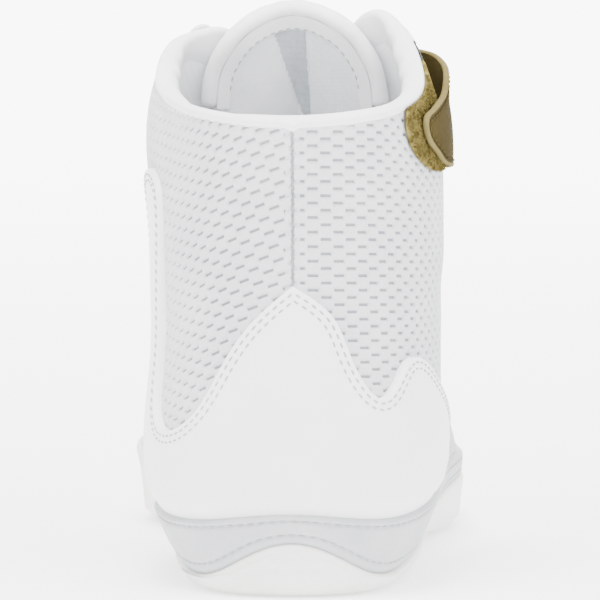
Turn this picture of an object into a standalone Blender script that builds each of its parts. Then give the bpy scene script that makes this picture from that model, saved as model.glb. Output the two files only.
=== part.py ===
"""A right wrestling shoe: a high, laced fabric upper on a thin rubber cup sole, closed by an ankle strap.

The toe points along +Y, +X is the shoe's outer (lateral) side, and z = 0 is the floor.
The origin lies on the floor under the middle of the heel.
Every piece is cut from one last: a surface through eleven sections, each with five levels.
A place on it is (turn, rise): turn goes from 0 at the heel's back to 1 at the toe along the
lateral side and to -1 along the medial side, and rise goes from 0 at the foot to 1 at the top.
"""

import math
from collections import namedtuple

import bmesh
import bpy
import numpy as np
from mathutils import Vector
from mathutils.geometry import delaunay_2d_cdt

# The last: its lengths, widths and heights.
LAST_LENGTH = 0.270
HEEL_SETBACK = 0.040
BALL_WIDTH = 0.099
HEEL_WIDTH = 0.073
ANKLE_WIDTH = 0.085
COLLAR_BACK_HEIGHT = 0.127
COLLAR_PEAK_HEIGHT = 0.1570
INSTEP_HEIGHT = 0.088
TOE_HEIGHT = 0.054

# What lies between the last and the floor.
HEEL_STACK = 0.0052
BALL_STACK = 0.0055
ARCH_LIFT = 0.0020
WAIST_LIFT = 0.0030
TOE_SPRING = 0.0090

# Walls and clearances.
SEAM_GAP = 0.0003
OVERLAY_GAP = 0.0004
UPPER_WALL = 0.0025
SOLE_WALL = 0.0026
SOLE_GROOVE = 0.0006
RAND_WALL = 0.0018
OVERLAY_WALL = 0.0010
PAD_WALL = 0.0012
INSOLE_THICKNESS = 0.0030

# The sole's tread: grooves across the heel and across the ball, as shares of LAST_LENGTH.
TREAD_DEPTH = 0.0012
TREAD_PITCH = 0.0085
TREAD_GROOVE = 0.0024
TREAD_ZONES = ((0.075, 0.225), (0.600, 0.745))

# The throat, its facing and its eyelets.
THROAT_WIDTH = 0.026
THROAT_FLARE = 0.003
THROAT_END = 0.61
EYESTAY_WIDTH = 0.020
STAY_START = 0.29
STAY_TOP = 0.345
EYELET_ROWS = 7
EYELET_INSET = 0.008
EYELET_MARGIN = 0.045
EYELET_RADIUS = 0.0034
EYELET_WIRE = 0.0009
LACE_RADIUS = 0.0016
LACE_SQUARENESS = 2.8

# The tongue.
TONGUE_WIDTH = 0.0475
TONGUE_HEIGHT = 0.1600
TONGUE_ARCH = 0.0265
TONGUE_LEAN = 0.0016
TONGUE_THICKNESS = 0.0045
TONGUE_CLEARANCE = 0.0024
TONGUE_CROWN = 0.0030
TONGUE_ROLL = 0.0024
FRONT_BULGE = 0.35

# The collar's roll, the ankle strap and the pad that it closes on.
COLLAR_ROLL = 0.0017
COUNTER_PEAK = 0.0838
COUNTER_GAP = 0.0017
STRAP_WIDTH = 0.036
STRAP_HEIGHT = 0.134
STRAP_THICKNESS = 0.0016
STRAP_SIDE_LIFT = 0.0034
STRAP_FRONT_LIFT = 0.0096
STRAP_TILT = 0.04
STRAP_ROOT = 1.30
# swing round the shaft, then the lower and the upper edge as shares of STRAP_WIDTH from STRAP_HEIGHT.
STRAP_OUTLINE = (
    (0.343, -0.25, -0.18),
    (0.372, -0.37, -0.09),
    (0.413, -0.44, -0.03),
    (0.482, -0.51, 0.03),
    (0.550, -0.52, 0.16),
    (0.640, -0.52, 0.31),
    (0.770, -0.51, 0.46),
    (1.000, -0.50, 0.50),
    (1.300, -0.52, 0.46),
)

Section = namedtuple("Section", "name foot_width leg_width height top_drop sole_lateral sole_medial band_lateral band_medial")
SECTIONS = (
    Section("heel_back", HEEL_WIDTH, ANKLE_WIDTH, COLLAR_BACK_HEIGHT, 0, 0.0155, 0.0155, 0.0230, 0.0230),
    Section("heel_turn", HEEL_WIDTH, ANKLE_WIDTH, 1.015 * COLLAR_BACK_HEIGHT, 0, 0.0075, 0.0075, 0.0212, 0.0212),
    Section("heel_side", HEEL_WIDTH, ANKLE_WIDTH, 1.050 * COLLAR_BACK_HEIGHT, 0, 0.0072, 0.0072, 0.0225, 0.0210),
    Section("ankle", HEEL_WIDTH, ANKLE_WIDTH, 0.93 * COLLAR_PEAK_HEIGHT, 0.002, 0.0088, 0.0088, 0.0250, 0.0220),
    Section("lobe", HEEL_WIDTH, ANKLE_WIDTH, COLLAR_PEAK_HEIGHT, 0.005, 0.0108, 0.0105, 0.0255, 0.0225),
    Section("shin", BALL_WIDTH, BALL_WIDTH, 1.42 * INSTEP_HEIGHT, 0, 0.0150, 0.0135, 0.0255, 0.0235),
    Section("instep", BALL_WIDTH, BALL_WIDTH, INSTEP_HEIGHT, 0, 0.0185, 0.0180, 0.0260, 0.0270),
    Section("ball", BALL_WIDTH, BALL_WIDTH, 0.735 * INSTEP_HEIGHT, 0, 0.0175, 0.0265, 0.0255, 0.0330),
    Section("toe_side", BALL_WIDTH, BALL_WIDTH, TOE_HEIGHT, 0, 0.0180, 0.0200, 0.0260, 0.0280),
    Section("toe_turn", BALL_WIDTH, BALL_WIDTH, 0.89 * TOE_HEIGHT, 0, 0.0230, 0.0230, 0.0300, 0.0300),
    Section("toe_front", BALL_WIDTH, BALL_WIDTH, 0.82 * TOE_HEIGHT, 0, 0.0280, 0.0280, 0.0340, 0.0340),
)
HEEL_BACK, HEEL_TURN, HEEL_SIDE, ANKLE, LOBE, SHIN, INSTEP, BALL, TOE_SIDE, TOE_TURN, TOE_FRONT = range(11)

# One table for each level of the last, one row for each section, from the heel to the toe.
# along: share of LAST_LENGTH from the heel's back. out: share of half the section's width, the
# foot's at the first two levels and the leg's above. up: share of the section's height.
Row = namedtuple("Row", "along_lateral along_medial out_lateral out_medial up")
FOOT = (
    Row(0.015, 0.015, 0.000, 0.000, 0),
    Row(0.037, 0.037, 0.493, 0.493, 0),
    Row(0.126, 0.126, 0.770, 0.770, 0),
    Row(0.237, 0.237, 0.863, 0.836, 0),
    Row(0.319, 0.319, 0.904, 0.781, 0),
    Row(0.407, 0.400, 0.700, 0.545, 0),
    Row(0.541, 0.541, 0.830, 0.700, 0),
    Row(0.644, 0.704, 0.920, 1.035, 0),
    Row(0.793, 0.837, 0.778, 0.859, 0),
    Row(0.926, 0.944, 0.343, 0.566, 0),
    Row(0.993, 0.993, -0.162, 0.162, 0),
)
BELLY = (
    Row(0.000, 0.000, 0.000, 0.000, 0.218),
    Row(0.024, 0.024, 0.603, 0.603, 0.217),
    Row(0.119, 0.119, 1.000, 1.000, 0.206),
    Row(0.237, 0.237, 1.085, 1.110, 0.188),
    Row(0.319, 0.319, 1.120, 1.100, 0.180),
    Row(0.407, 0.400, 0.848, 0.778, 0.220),
    Row(0.541, 0.541, 0.939, 0.885, 0.300),
    Row(0.644, 0.704, 0.940, 1.090, 0.330),
    Row(0.796, 0.844, 0.869, 0.899, 0.410),
    Row(0.937, 0.956, 0.404, 0.626, 0.495),
    Row(1.000, 1.000, -0.162, 0.162, 0.545),
)
SIDE = (
    Row(0.015, 0.015, 0.000, 0.000, 0.492),
    Row(0.039, 0.039, 0.518, 0.518, 0.486),
    Row(0.130, 0.130, 0.859, 0.830, 0.457),
    Row(0.237, 0.237, 0.955, 0.925, 0.417),
    Row(0.319, 0.319, 0.915, 0.910, 0.392),
    Row(0.400, 0.400, 0.768, 0.758, 0.469),
    Row(0.537, 0.537, 0.727, 0.737, 0.568),
    Row(0.641, 0.696, 0.747, 0.828, 0.589),
    Row(0.785, 0.822, 0.626, 0.697, 0.654),
    Row(0.907, 0.926, 0.263, 0.424, 0.716),
    Row(0.970, 0.970, -0.152, 0.152, 0.773),
)
SHOULDER = (
    Row(0.030, 0.030, 0.000, 0.000, 0.778),
    Row(0.052, 0.052, 0.494, 0.494, 0.774),
    Row(0.137, 0.137, 0.840, 0.850, 0.780),
    Row(0.237, 0.237, 0.965, 1.030, 0.810),
    Row(0.311, 0.311, 0.885, 0.960, 0.735),
    Row(0.396, 0.396, 0.525, 0.525, 0.750),
    Row(0.530, 0.530, 0.374, 0.394, 0.830),
    Row(0.641, 0.678, 0.364, 0.424, 0.840),
    Row(0.763, 0.781, 0.303, 0.364, 0.880),
    Row(0.859, 0.870, 0.081, 0.242, 0.895),
    Row(0.926, 0.926, -0.121, 0.121, 0.910),
)
TOP = (
    Row(0.011, 0.011, 0.000, 0.000, 1),
    Row(0.035, 0.035, 0.482, 0.482, 1),
    Row(0.122, 0.122, 0.755, 0.800, 1),
    Row(0.215, 0.215, 0.800, 0.928, 1),
    Row(0.296, 0.296, 0.510, 0.660, 1),
    Row(0.381, 0.381, 0.000, 0.000, 1),
    Row(0.522, 0.522, 0.000, 0.000, 1),
    Row(0.652, 0.652, 0.000, 0.000, 1),
    Row(0.756, 0.756, -0.050, 0.050, 1),
    Row(0.837, 0.837, -0.100, 0.100, 1),
    Row(0.896, 0.896, -0.121, 0.121, 1),
)
LEVELS = (FOOT, BELLY, SIDE, SHOULDER, TOP)
LEVEL_RISES = np.array((0, 0.18, 0.44, 0.74, 1))


def mix(first, second, share):
    return first + (second - first) * share


def ease(value, start, end):
    """0 before start, 1 after end, and a smooth ramp between them."""
    share = np.clip((value - start) / (end - start), 0, 1)
    return share * share * (3 - 2 * share)


def sole_underside(along):
    """Height of the sole's underside, flat under the heel and the ball."""
    arch = ease(along, 0.27, 0.38) * (1 - ease(along, 0.47, 0.58))
    spring = np.clip((along - 0.76) / 0.24, 0, None) ** 2
    return ARCH_LIFT * arch + TOE_SPRING * spring


def footbed(along):
    """Height of the last's foot above the floor."""
    waist = ease(along, 0.22, 0.38) * (1 - ease(along, 0.45, 0.62))
    stack = mix(HEEL_STACK, BALL_STACK, ease(along, 0.25, 0.62))
    return sole_underside(along) + stack + (WAIST_LIFT - ARCH_LIFT) * waist


def station(y):
    """Share of the last's length at this y."""
    return (y + HEEL_SETBACK) / LAST_LENGTH


def last_corner(level, index, side):
    """The last's own point on one level, section and side."""
    row, section = level[index], SECTIONS[index]
    along = row.along_lateral if side > 0 else row.along_medial
    out = row.out_lateral if side > 0 else row.out_medial
    foot = level in (FOOT, BELLY)
    width = section.foot_width if foot else section.leg_width
    height = footbed(along) if level is FOOT else row.up * section.height
    if level is TOP and side < 0:
        height -= section.top_drop
    return side * out * width / 2, along * LAST_LENGTH - HEEL_SETBACK, height


def knot_slopes(knots, points, end_slope=None):
    """Slopes at the knots of the cubic spline through the points, free at its ends unless one is given."""
    count = len(knots)
    step = np.diff(knots)
    chord = np.diff(points, axis=0) / step.reshape(-1, *[1] * (points.ndim - 1))
    rows = np.zeros((count, count))
    sums = np.zeros(points.shape)
    rows[0, :2] = 2, 1
    sums[0] = 3 * chord[0]
    for i in range(1, count - 1):
        rows[i, i - 1 : i + 2] = step[i], 2 * (step[i - 1] + step[i]), step[i - 1]
        sums[i] = 3 * (step[i] * chord[i - 1] + step[i - 1] * chord[i])
    if end_slope is None:
        rows[-1, -2:] = 1, 2
        sums[-1] = 3 * chord[-1]
    else:
        rows[-1, -1] = 1
        sums[-1] = end_slope
    return np.linalg.solve(rows, sums.reshape(count, -1)).reshape(points.shape)


def on_spline(knots, points, slopes, at):
    """Points of the spline. Where it is a stack of splines, at holds one place on each."""
    left = np.clip(np.searchsorted(knots, at, side="right") - 1, 0, len(knots) - 2)
    each = (np.arange(len(at)),) if points.ndim == 3 else ()
    step = (knots[left + 1] - knots[left])[:, None]
    share = (at - knots[left])[:, None] / step
    start, end = points[(left, *each)], points[(left + 1, *each)]
    leave, arrive = slopes[(left, *each)] * step, slopes[(left + 1, *each)] * step
    bend = start - end
    return start + share * (leave + share * (-3 * bend - 2 * leave - arrive + share * (2 * bend + leave + arrive)))


def closed_spline(knots, points, period):
    """A spline that closes on itself: its turn is repeated before and after."""
    long_knots = np.concatenate([knots - period, knots, knots + period])
    long_points = np.concatenate([points] * 3)
    return long_knots, long_points, knot_slopes(long_knots, long_points)


def side_turns(side):
    """The turn at each section on one side, from the length of the belly's chords."""
    corners = np.array([last_corner(BELLY, index, side) for index in range(len(SECTIONS))])
    run = np.concatenate([[0], np.cumsum(np.linalg.norm(np.diff(corners, axis=0), axis=1))])
    return run / run[-1]


LATERAL_TURNS, MEDIAL_TURNS = side_turns(1), side_turns(-1)
RING_KNOTS = np.concatenate([-MEDIAL_TURNS[:0:-1], LATERAL_TURNS[:-1]])


def ring_of(values_lateral, values_medial):
    """A closed spline round the shoe through one value or point for each section and side."""
    ring = np.concatenate([values_medial[:0:-1], values_lateral[:-1]])
    return closed_spline(RING_KNOTS, ring, 2)


RINGS = [
    ring_of(*(np.array([last_corner(level, i, side) for i in range(len(SECTIONS))]) for side in (1, -1)))
    for level in LEVELS
]
SOLE_RING = ring_of(*(np.array([[getattr(s, name)] for s in SECTIONS]) for name in ("sole_lateral", "sole_medial")))
BAND_RING = ring_of(*(np.array([[getattr(s, name)] for s in SECTIONS]) for name in ("band_lateral", "band_medial")))


def last_points(turn, rise):
    """Points of the last. In front of the shin the two sides meet in one ridge."""
    here = np.stack([on_spline(*ring, turn) for ring in RINGS])
    across = np.stack([on_spline(*ring, -turn) for ring in RINGS])
    here[0, :, 2] = footbed(station(here[0, :, 1]))
    closed = ease(np.abs(turn), LATERAL_TURNS[SHIN], LATERAL_TURNS[INSTEP])[:, None]
    here[4] = mix(here[4], (here[4] + across[4]) / 2, closed)
    free = knot_slopes(LEVEL_RISES, here)
    level_off = (across[3] - here[3]) / (2 * (LEVEL_RISES[4] - LEVEL_RISES[3]))
    slopes = knot_slopes(LEVEL_RISES, here, mix(free[4], level_off, closed))
    return on_spline(LEVEL_RISES, here, slopes, rise)


def one_side_normals(turn, rise):
    step = 0.002
    rise = np.clip(rise, step, 1 - 2 * step)
    round_it = last_points(turn + step, rise) - last_points(turn - step, rise)
    up_it = last_points(turn, rise + step) - last_points(turn, rise - step)
    normal = np.cross(round_it, up_it)
    return normal / np.linalg.norm(normal, axis=1)[:, None]


def last_normals(turn, rise):
    """The way the last's surface faces. The two sides agree along the ridge where they meet."""
    normal = one_side_normals(turn, rise)
    meets = (rise > 0.98) & (np.abs(turn) > LATERAL_TURNS[SHIN])
    if meets.any():
        other = one_side_normals(-turn[meets], rise[meets])
        share = ease(rise[meets], 0.98, 0.9999) * ease(np.abs(turn[meets]), *LATERAL_TURNS[[SHIN, INSTEP]])
        normal[meets] = mix(normal[meets], (normal[meets] + other) / 2, share[:, None])
    return normal / np.linalg.norm(normal, axis=1)[:, None]


def on_last(turn, rise, lift=0.0):
    """Points at a height above the last's surface, for arrays of any one shape."""
    turn, rise, lift = np.broadcast_arrays(turn, rise, lift)
    flat_turn, flat_rise = turn.ravel().astype(float), rise.ravel().astype(float)
    points = last_points(flat_turn, flat_rise) + last_normals(flat_turn, flat_rise) * lift.ravel()[:, None]
    return points.reshape(*turn.shape, 3)


def first_crossing(rises, reached):
    """For each row of measures, the rise at which it first passes zero upward, or the last rise."""
    before, after = reached[:, :-1], reached[:, 1:]
    crossed = (before < 0) & (after >= 0)
    index = np.where(crossed.any(axis=1), crossed.argmax(axis=1), len(rises) - 2)
    own = np.arange(len(reached))
    start, end = before[own, index], after[own, index]
    share = np.where(crossed.any(axis=1), -start / np.where(end == start, 1, end - start), 1)
    return mix(rises[index], rises[index + 1], share)


def rib_samples(turn, lowest, count):
    """Rises along each turn's rib, and the last's points there."""
    rises = np.linspace(lowest, 1, count)
    grid_turn, grid_rise = np.meshgrid(turn, rises, indexing="ij")
    return rises, last_points(grid_turn.ravel(), grid_rise.ravel()).reshape(*grid_turn.shape, 3)


def rise_at_height(turn, height):
    """The rise at which the last's surface reaches this height above the floor."""
    turn, height = np.broadcast_arrays(np.atleast_1d(turn).astype(float), height)
    rises, points = rib_samples(turn, 0, 101)
    return first_crossing(rises, points[..., 2] - height[:, None])


def rise_at_width(turn, width):
    """The rise at which the rib comes this near to the middle plane, for ribs that cross the throat."""
    turn, width = np.broadcast_arrays(np.atleast_1d(turn).astype(float), width)
    rises, points = rib_samples(turn, 0.45, 111)
    return first_crossing(rises, width[:, None] - np.abs(points[..., 0]))


def rise_over(turn, rise, distance):
    """How far the rise changes over this distance along the rib."""
    step = 0.01
    low, high = np.clip(rise - step, 0, 1), np.clip(rise + step, 0, 1)
    span = np.linalg.norm(last_points(turn, high) - last_points(turn, low), axis=1)
    return distance * (high - low) / span


def throat_half_width(y, widening=0.0):
    """Half the throat's width at each y. It is wider at the top and ends in half an ellipse."""
    half = THROAT_WIDTH / 2 + widening
    end = THROAT_END * LAST_LENGTH - HEEL_SETBACK + widening
    share = np.clip((y - (end - half)) / half, 0, 1)
    flare = THROAT_FLARE * (1 - ease(y, end - 0.10, end - 0.05))
    return np.where(y > end, -1.0, (half + flare) * np.sqrt(1 - share**2))


def throat_rise(turn, widening=0.0):
    """The rise at which each rib meets the throat's edge, or a line beside it, and 1 where it meets none."""
    rises, points = rib_samples(turn, 0.45, 111)
    inside = throat_half_width(points[..., 1], widening) - np.abs(points[..., 0])
    inside[np.abs(turn) < LATERAL_TURNS[ANKLE]] = -1
    return first_crossing(rises, inside)


def ridge_turn(along, side):
    """The turn at which the ridge passes this share of the last's length."""
    turns = np.linspace(LATERAL_TURNS[SHIN], 1, 200) * side
    ridge = last_points(turns, np.ones(len(turns)))[:, 1]
    return float(np.interp(along * LAST_LENGTH - HEEL_SETBACK, ridge, turns))


VAMP_TURN = {side: ridge_turn(THROAT_END, side) for side in (1, -1)}
COLUMNS = 31


def side_columns(side):
    """Turns from the heel to the toe along one side, closer where the last is round."""
    even = np.linspace(0, 1, COLUMNS + 1)
    turns = mix(even, (1 - np.cos(np.pi * even)) / 2, 0.6)
    for stop in (abs(VAMP_TURN[side]), LATERAL_TURNS[TOE_SIDE]):
        turns[np.abs(turns - stop).argmin()] = stop
    return side * turns


TURNS = np.concatenate([side_columns(-1)[:0:-1], side_columns(1)])


def ring_height(ring, turns=TURNS):
    return on_spline(*ring, turns)[:, 0]


SOLE_RISE = rise_at_height(TURNS, ring_height(SOLE_RING))
BAND_RISE = rise_at_height(TURNS, ring_height(BAND_RING))
TOP_RISE = throat_rise(TURNS)
TOP_RISE = np.where(np.abs(TURNS) > min(np.abs(list(VAMP_TURN.values()))) - 1e-6, 1, TOP_RISE)
STAY_RISE = throat_rise(TURNS, EYESTAY_WIDTH)
STAY_RISE = np.where(STAY_RISE < 1 - 1e-6, STAY_RISE, mix(BAND_RISE, TOP_RISE, 0.72))


def rows_between(low, high, count):
    """This many rows of rises above low, the last one at high."""
    return [mix(low, high, share) for share in np.linspace(0, 1, count + 1)[1:]]


# Rows of rises that the pieces share, so that the facets of neighbours lie parallel.
SOLE_ROWS = [0 * TURNS, *rows_between(0 * TURNS, SOLE_RISE, 2)]
BAND_ROWS = [SOLE_RISE, *rows_between(SOLE_RISE, BAND_RISE, 2)]
SIDE_ROWS = [BAND_RISE, *rows_between(BAND_RISE, STAY_RISE, 4)]
TOP_ROWS = [STAY_RISE, *rows_between(STAY_RISE, TOP_RISE, 3)]


def material(name, colour, roughness=0.6, metallic=0.0):
    """A Principled material, with its colour given as shown on a screen."""
    made = bpy.data.materials.new(name)
    made.use_nodes = True
    shader = made.node_tree.nodes["Principled BSDF"]
    linear = [((c + 0.055) / 1.055) ** 2.4 if c > 0.04045 else c / 12.92 for c in colour]
    shader.inputs["Base Color"].default_value = (*linear, 1)
    shader.inputs["Roughness"].default_value = roughness
    shader.inputs["Metallic"].default_value = metallic
    made.diffuse_color = (*linear, 1)
    return made


def add_sheet(shape, points):
    """A sheet over a grid of points, facing out where its columns run round the shoe and its rows run up.

    Every cell is split along the same diagonal, so that the facets of neighbours lie parallel.
    """
    corners = [[shape.verts.new(point) for point in row] for row in points]
    for low, high in zip(corners, corners[1:]):
        for i in range(len(low) - 1):
            shape.faces.new((low[i], low[i + 1], high[i + 1]))
            shape.faces.new((low[i], high[i + 1], high[i]))


def finish_object(name, shape, finish, turn_out=False):
    """Welds a bmesh and makes it one named object of the shoe."""
    bmesh.ops.remove_doubles(shape, verts=shape.verts, dist=5e-6)
    bmesh.ops.dissolve_degenerate(shape, edges=shape.edges, dist=1e-6)
    if turn_out:
        bmesh.ops.recalc_face_normals(shape, faces=shape.faces)
    mesh = bpy.data.meshes.new(name)
    shape.to_mesh(mesh)
    shape.free()
    mesh.materials.append(finish)
    mesh.shade_smooth()
    mesh.set_sharp_from_angle(angle=math.radians(40))
    made = bpy.data.objects.new(name, mesh)
    SHOE.objects.link(made)
    return made


def add_wall(made, thickness, outward):
    """Gives an open sheet its thickness on one side."""
    wall = made.modifiers.new("Wall", "SOLIDIFY")
    wall.thickness = thickness
    wall.offset = 1 if outward else -1
    return made


def sheet_object(name, grids, finish, thickness, outward=True):
    shape = bmesh.new()
    for grid in grids:
        add_sheet(shape, np.array(grid))
    return add_wall(finish_object(name, shape, finish), thickness, outward)


def make_upper():
    """The fabric upper, open at the collar, the throat and the foot."""
    rises = np.array(SOLE_ROWS + BAND_ROWS[1:] + SIDE_ROWS[1:] + TOP_ROWS[1:])
    fabric = material("mesh_fabric", (0.91, 0.915, 0.92), 0.85)
    return sheet_object("upper", [on_last(TURNS, rises)], fabric, UPPER_WALL, outward=False)


def foot_ring(outward, up):
    """The last's foot outline moved outward, at this height above the sole's underside."""
    level = np.zeros(len(TURNS))
    points = last_points(TURNS, level)
    tangent = last_points(TURNS + 0.002, level) - last_points(TURNS - 0.002, level)
    normal = np.stack([tangent[:, 1], -tangent[:, 0], level], axis=1)
    moved = points + normal / np.linalg.norm(normal, axis=1)[:, None] * outward
    moved[:, 2] = sole_underside(station(moved[:, 1])) + up
    return moved


def add_floor(shape, ring, height, facing_up, across=6):
    """Fills a ring round the shoe with rows that run from the medial to the lateral side."""
    half = len(ring) // 2
    medial, lateral = ring[half::-1], ring[half:]
    grid = np.array([mix(medial, lateral, share) for share in np.linspace(0, 1, across + 1)])
    grid[1:-1, :, 2] = height(station(grid[1:-1, :, 1]))
    add_sheet(shape, grid[:, ::-1] if facing_up else grid)


def tread_cutter(outsole):
    """Grooves across the heel and the ball that leave the tread's bars standing."""
    shape = bmesh.new()
    for start, end in TREAD_ZONES:
        count = round((end - start) * LAST_LENGTH / TREAD_PITCH)
        for y in np.linspace(start, end, count + 1) * LAST_LENGTH - HEEL_SETBACK:
            cube = bmesh.ops.create_cube(shape, size=1)["verts"]
            bmesh.ops.scale(shape, vec=(BALL_WIDTH * 1.3, TREAD_GROOVE, 2 * TREAD_DEPTH), verts=cube)
            bmesh.ops.translate(shape, vec=(0, y, 0), verts=cube)
    mesh = bpy.data.meshes.new("tread_grooves")
    shape.to_mesh(mesh)
    shape.free()
    cutter = bpy.data.objects.new("tread_grooves", mesh)
    cutter.hide_render = True
    cutter.display_type = "WIRE"
    CUTTERS.objects.link(cutter)
    cut = outsole.modifiers.new("Tread", "BOOLEAN")
    cut.operation = "DIFFERENCE"
    cut.object = cutter


def make_outsole():
    """The rubber cup sole: a round-edged underside, a low wall that climbs in two wings, and a toe bumper."""
    wall = SEAM_GAP + SOLE_WALL
    groove = wall - SOLE_GROOVE
    inner = on_last(TURNS, 0.0, SEAM_GAP)
    inner[:, 2] = footbed(station(inner[:, 1])) - SEAM_GAP
    inside = [inner] + [on_last(TURNS, rises, SEAM_GAP) for rises in SOLE_ROWS[1:]]
    outside = [
        on_last(TURNS, SOLE_RISE, SEAM_GAP + 0.8 * SOLE_WALL),
        on_last(TURNS, 0.9 * SOLE_RISE, wall),
        on_last(TURNS, 0.5 * SOLE_RISE, wall),
        foot_ring(SOLE_WALL, 0.0044),
        foot_ring(SOLE_WALL - SOLE_GROOVE, 0.0037),
        foot_ring(0.0010, 0.0029),
        foot_ring(-0.0020, 0.0014),
        foot_ring(-0.0052, 0.0003),
        foot_ring(-0.0082, 0.0),
    ]
    shape = bmesh.new()
    add_sheet(shape, np.array(outside[::-1]))
    add_sheet(shape, np.array([outside[0], inside[-1]]))
    add_sheet(shape, np.array(inside))
    add_floor(shape, outside[-1], sole_underside, facing_up=False)
    add_floor(shape, inner, lambda along: footbed(along) - SEAM_GAP, facing_up=True)
    rubber = material("white_rubber", (0.9, 0.89, 0.86), 0.55)
    outsole = finish_object("outsole", shape, rubber, turn_out=True)
    tread_cutter(outsole)


def make_insole():
    """The foam insole, laid inside the upper's foot."""
    low = foot_ring(-(UPPER_WALL + 2 * SEAM_GAP), 0)
    low[:, 2] = footbed(station(low[:, 1])) + SEAM_GAP
    high = low + np.array([0, 0, INSOLE_THICKNESS])
    shape = bmesh.new()
    add_sheet(shape, np.array([low, high]))
    add_floor(shape, low, lambda along: footbed(along) + SEAM_GAP, facing_up=False, across=4)
    bed = SEAM_GAP + INSOLE_THICKNESS
    add_floor(shape, high, lambda along: footbed(along) + bed, facing_up=True, across=4)
    finish_object("insole", shape, material("insole_foam", (0.62, 0.63, 0.64), 0.95), turn_out=True)


def make_rand():
    """The stitched band round the upper, from the sole's edge to the foot of the overlays."""
    rows = [SOLE_RISE + rise_over(TURNS, SOLE_RISE, 2 * SEAM_GAP), *BAND_ROWS[1:]]
    finish = material("band_leather", (0.83, 0.835, 0.845), 0.5)
    return sheet_object("rand", [on_last(TURNS, np.array(rows), SEAM_GAP)], finish, RAND_WALL)


def make_toe_cap():
    """The smooth toe cap, from the band over the toe."""
    covers = np.abs(TURNS) >= LATERAL_TURNS[TOE_SIDE] - 1e-6
    low = BAND_RISE + rise_over(TURNS, BAND_RISE, 2 * SEAM_GAP)
    rises = np.array([low, *SIDE_ROWS[1:], *TOP_ROWS[1:]])
    grids = [on_last(TURNS[part], rises[:, part], OVERLAY_GAP) for part in (covers & (TURNS < 0), covers & (TURNS > 0))]
    return sheet_object("toe_cap", grids, material("toe_leather", (0.93, 0.93, 0.93), 0.45), OVERLAY_WALL)


def make_eyestay():
    """The facing that carries the eyelets, one U round the throat."""
    wide = throat_rise(TURNS, EYESTAY_WIDTH)
    grids = []
    for side in (-1, 1):
        part = (side * TURNS > STAY_START) & (wide < 1 - 1e-6)
        rises = np.array([wide[part], *rows_between(wide[part], TOP_RISE[part], 3)])
        grids.append(on_last(TURNS[part], rises, OVERLAY_GAP))
    return sheet_object("eyestay", grids, material("facing_leather", (0.92, 0.92, 0.925), 0.45), OVERLAY_WALL)


def through(points, spacing):
    """An even run of points on the smooth line through a few."""
    points = np.array(points, float)
    run = np.concatenate([[0], np.cumsum(np.linalg.norm(np.diff(points, axis=0), axis=1))])
    places = np.linspace(0, run[-1], max(2, round(run[-1] / spacing)) + 1)
    return on_spline(run, points, knot_slopes(run, points), places)


def girth(side):
    """Length of the belly from the heel's back to the toe along one side."""
    corners = np.array([last_corner(BELLY, index, side) for index in range(len(SECTIONS))])
    return np.linalg.norm(np.diff(corners, axis=0), axis=1).sum()


GIRTH = {side: girth(side) for side in (1, -1)}


def turn_at(around):
    """The turn this far round the belly from the heel's back."""
    return np.where(around > 0, around / GIRTH[1], around / GIRTH[-1])


def inside_outline(points, outline):
    """Whether each point lies inside a closed outline."""
    x, y = points[:, :1], points[:, 1:]
    ax, ay = outline.T
    bx, by = np.roll(outline, -1, axis=0).T
    straddles = (ay > y) != (by > y)
    crossing = ax + (y - ay) * (bx - ax) / np.where(by == ay, 1, by - ay)
    return (straddles & (x < crossing)).sum(axis=1) % 2 == 1


def pattern_piece(name, outline, finish, lift=None, thickness=None, spacing=0.006):
    """A flat pattern piece, outlined by distance round the heel and height, laid on the last."""
    low, high = outline.min(axis=0), outline.max(axis=0)
    grid = np.stack(np.meshgrid(*(np.arange(a, b, spacing) for a, b in zip(low, high))), axis=-1).reshape(-1, 2)
    clear = np.linalg.norm(grid[:, None] - outline[None], axis=2).min(axis=1) > 0.6 * spacing
    points = np.concatenate([outline, grid[inside_outline(grid, outline) & clear]])
    edges = [(i, (i + 1) % len(outline)) for i in range(len(outline))]
    flat, _, faces, *_ = delaunay_2d_cdt([Vector(point) for point in points], edges, [], 1, 1e-7)
    flat = np.array([tuple(point) for point in flat])
    turns = turn_at(flat[:, 0])
    places = on_last(turns, rise_at_height(turns, flat[:, 1]), OVERLAY_GAP if lift is None else lift)
    shape = bmesh.new()
    corners = [shape.verts.new(place) for place in places]
    for a, b, c in faces:
        (ax, ay), (bx, by), (cx, cy) = flat[a], flat[b], flat[c]
        forward = (bx - ax) * (cy - ay) > (by - ay) * (cx - ax)
        shape.faces.new([corners[i] for i in ((a, b, c) if forward else (a, c, b))])
    return add_wall(finish_object(name, shape, finish), thickness or OVERLAY_WALL, outward=True)


def above_band(arounds):
    """Points that follow the band's upper edge, a seam's gap above it."""
    heights = ring_height(BAND_RING, turn_at(arounds)) + 2 * SEAM_GAP
    return np.stack([arounds, heights], axis=1)


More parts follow.
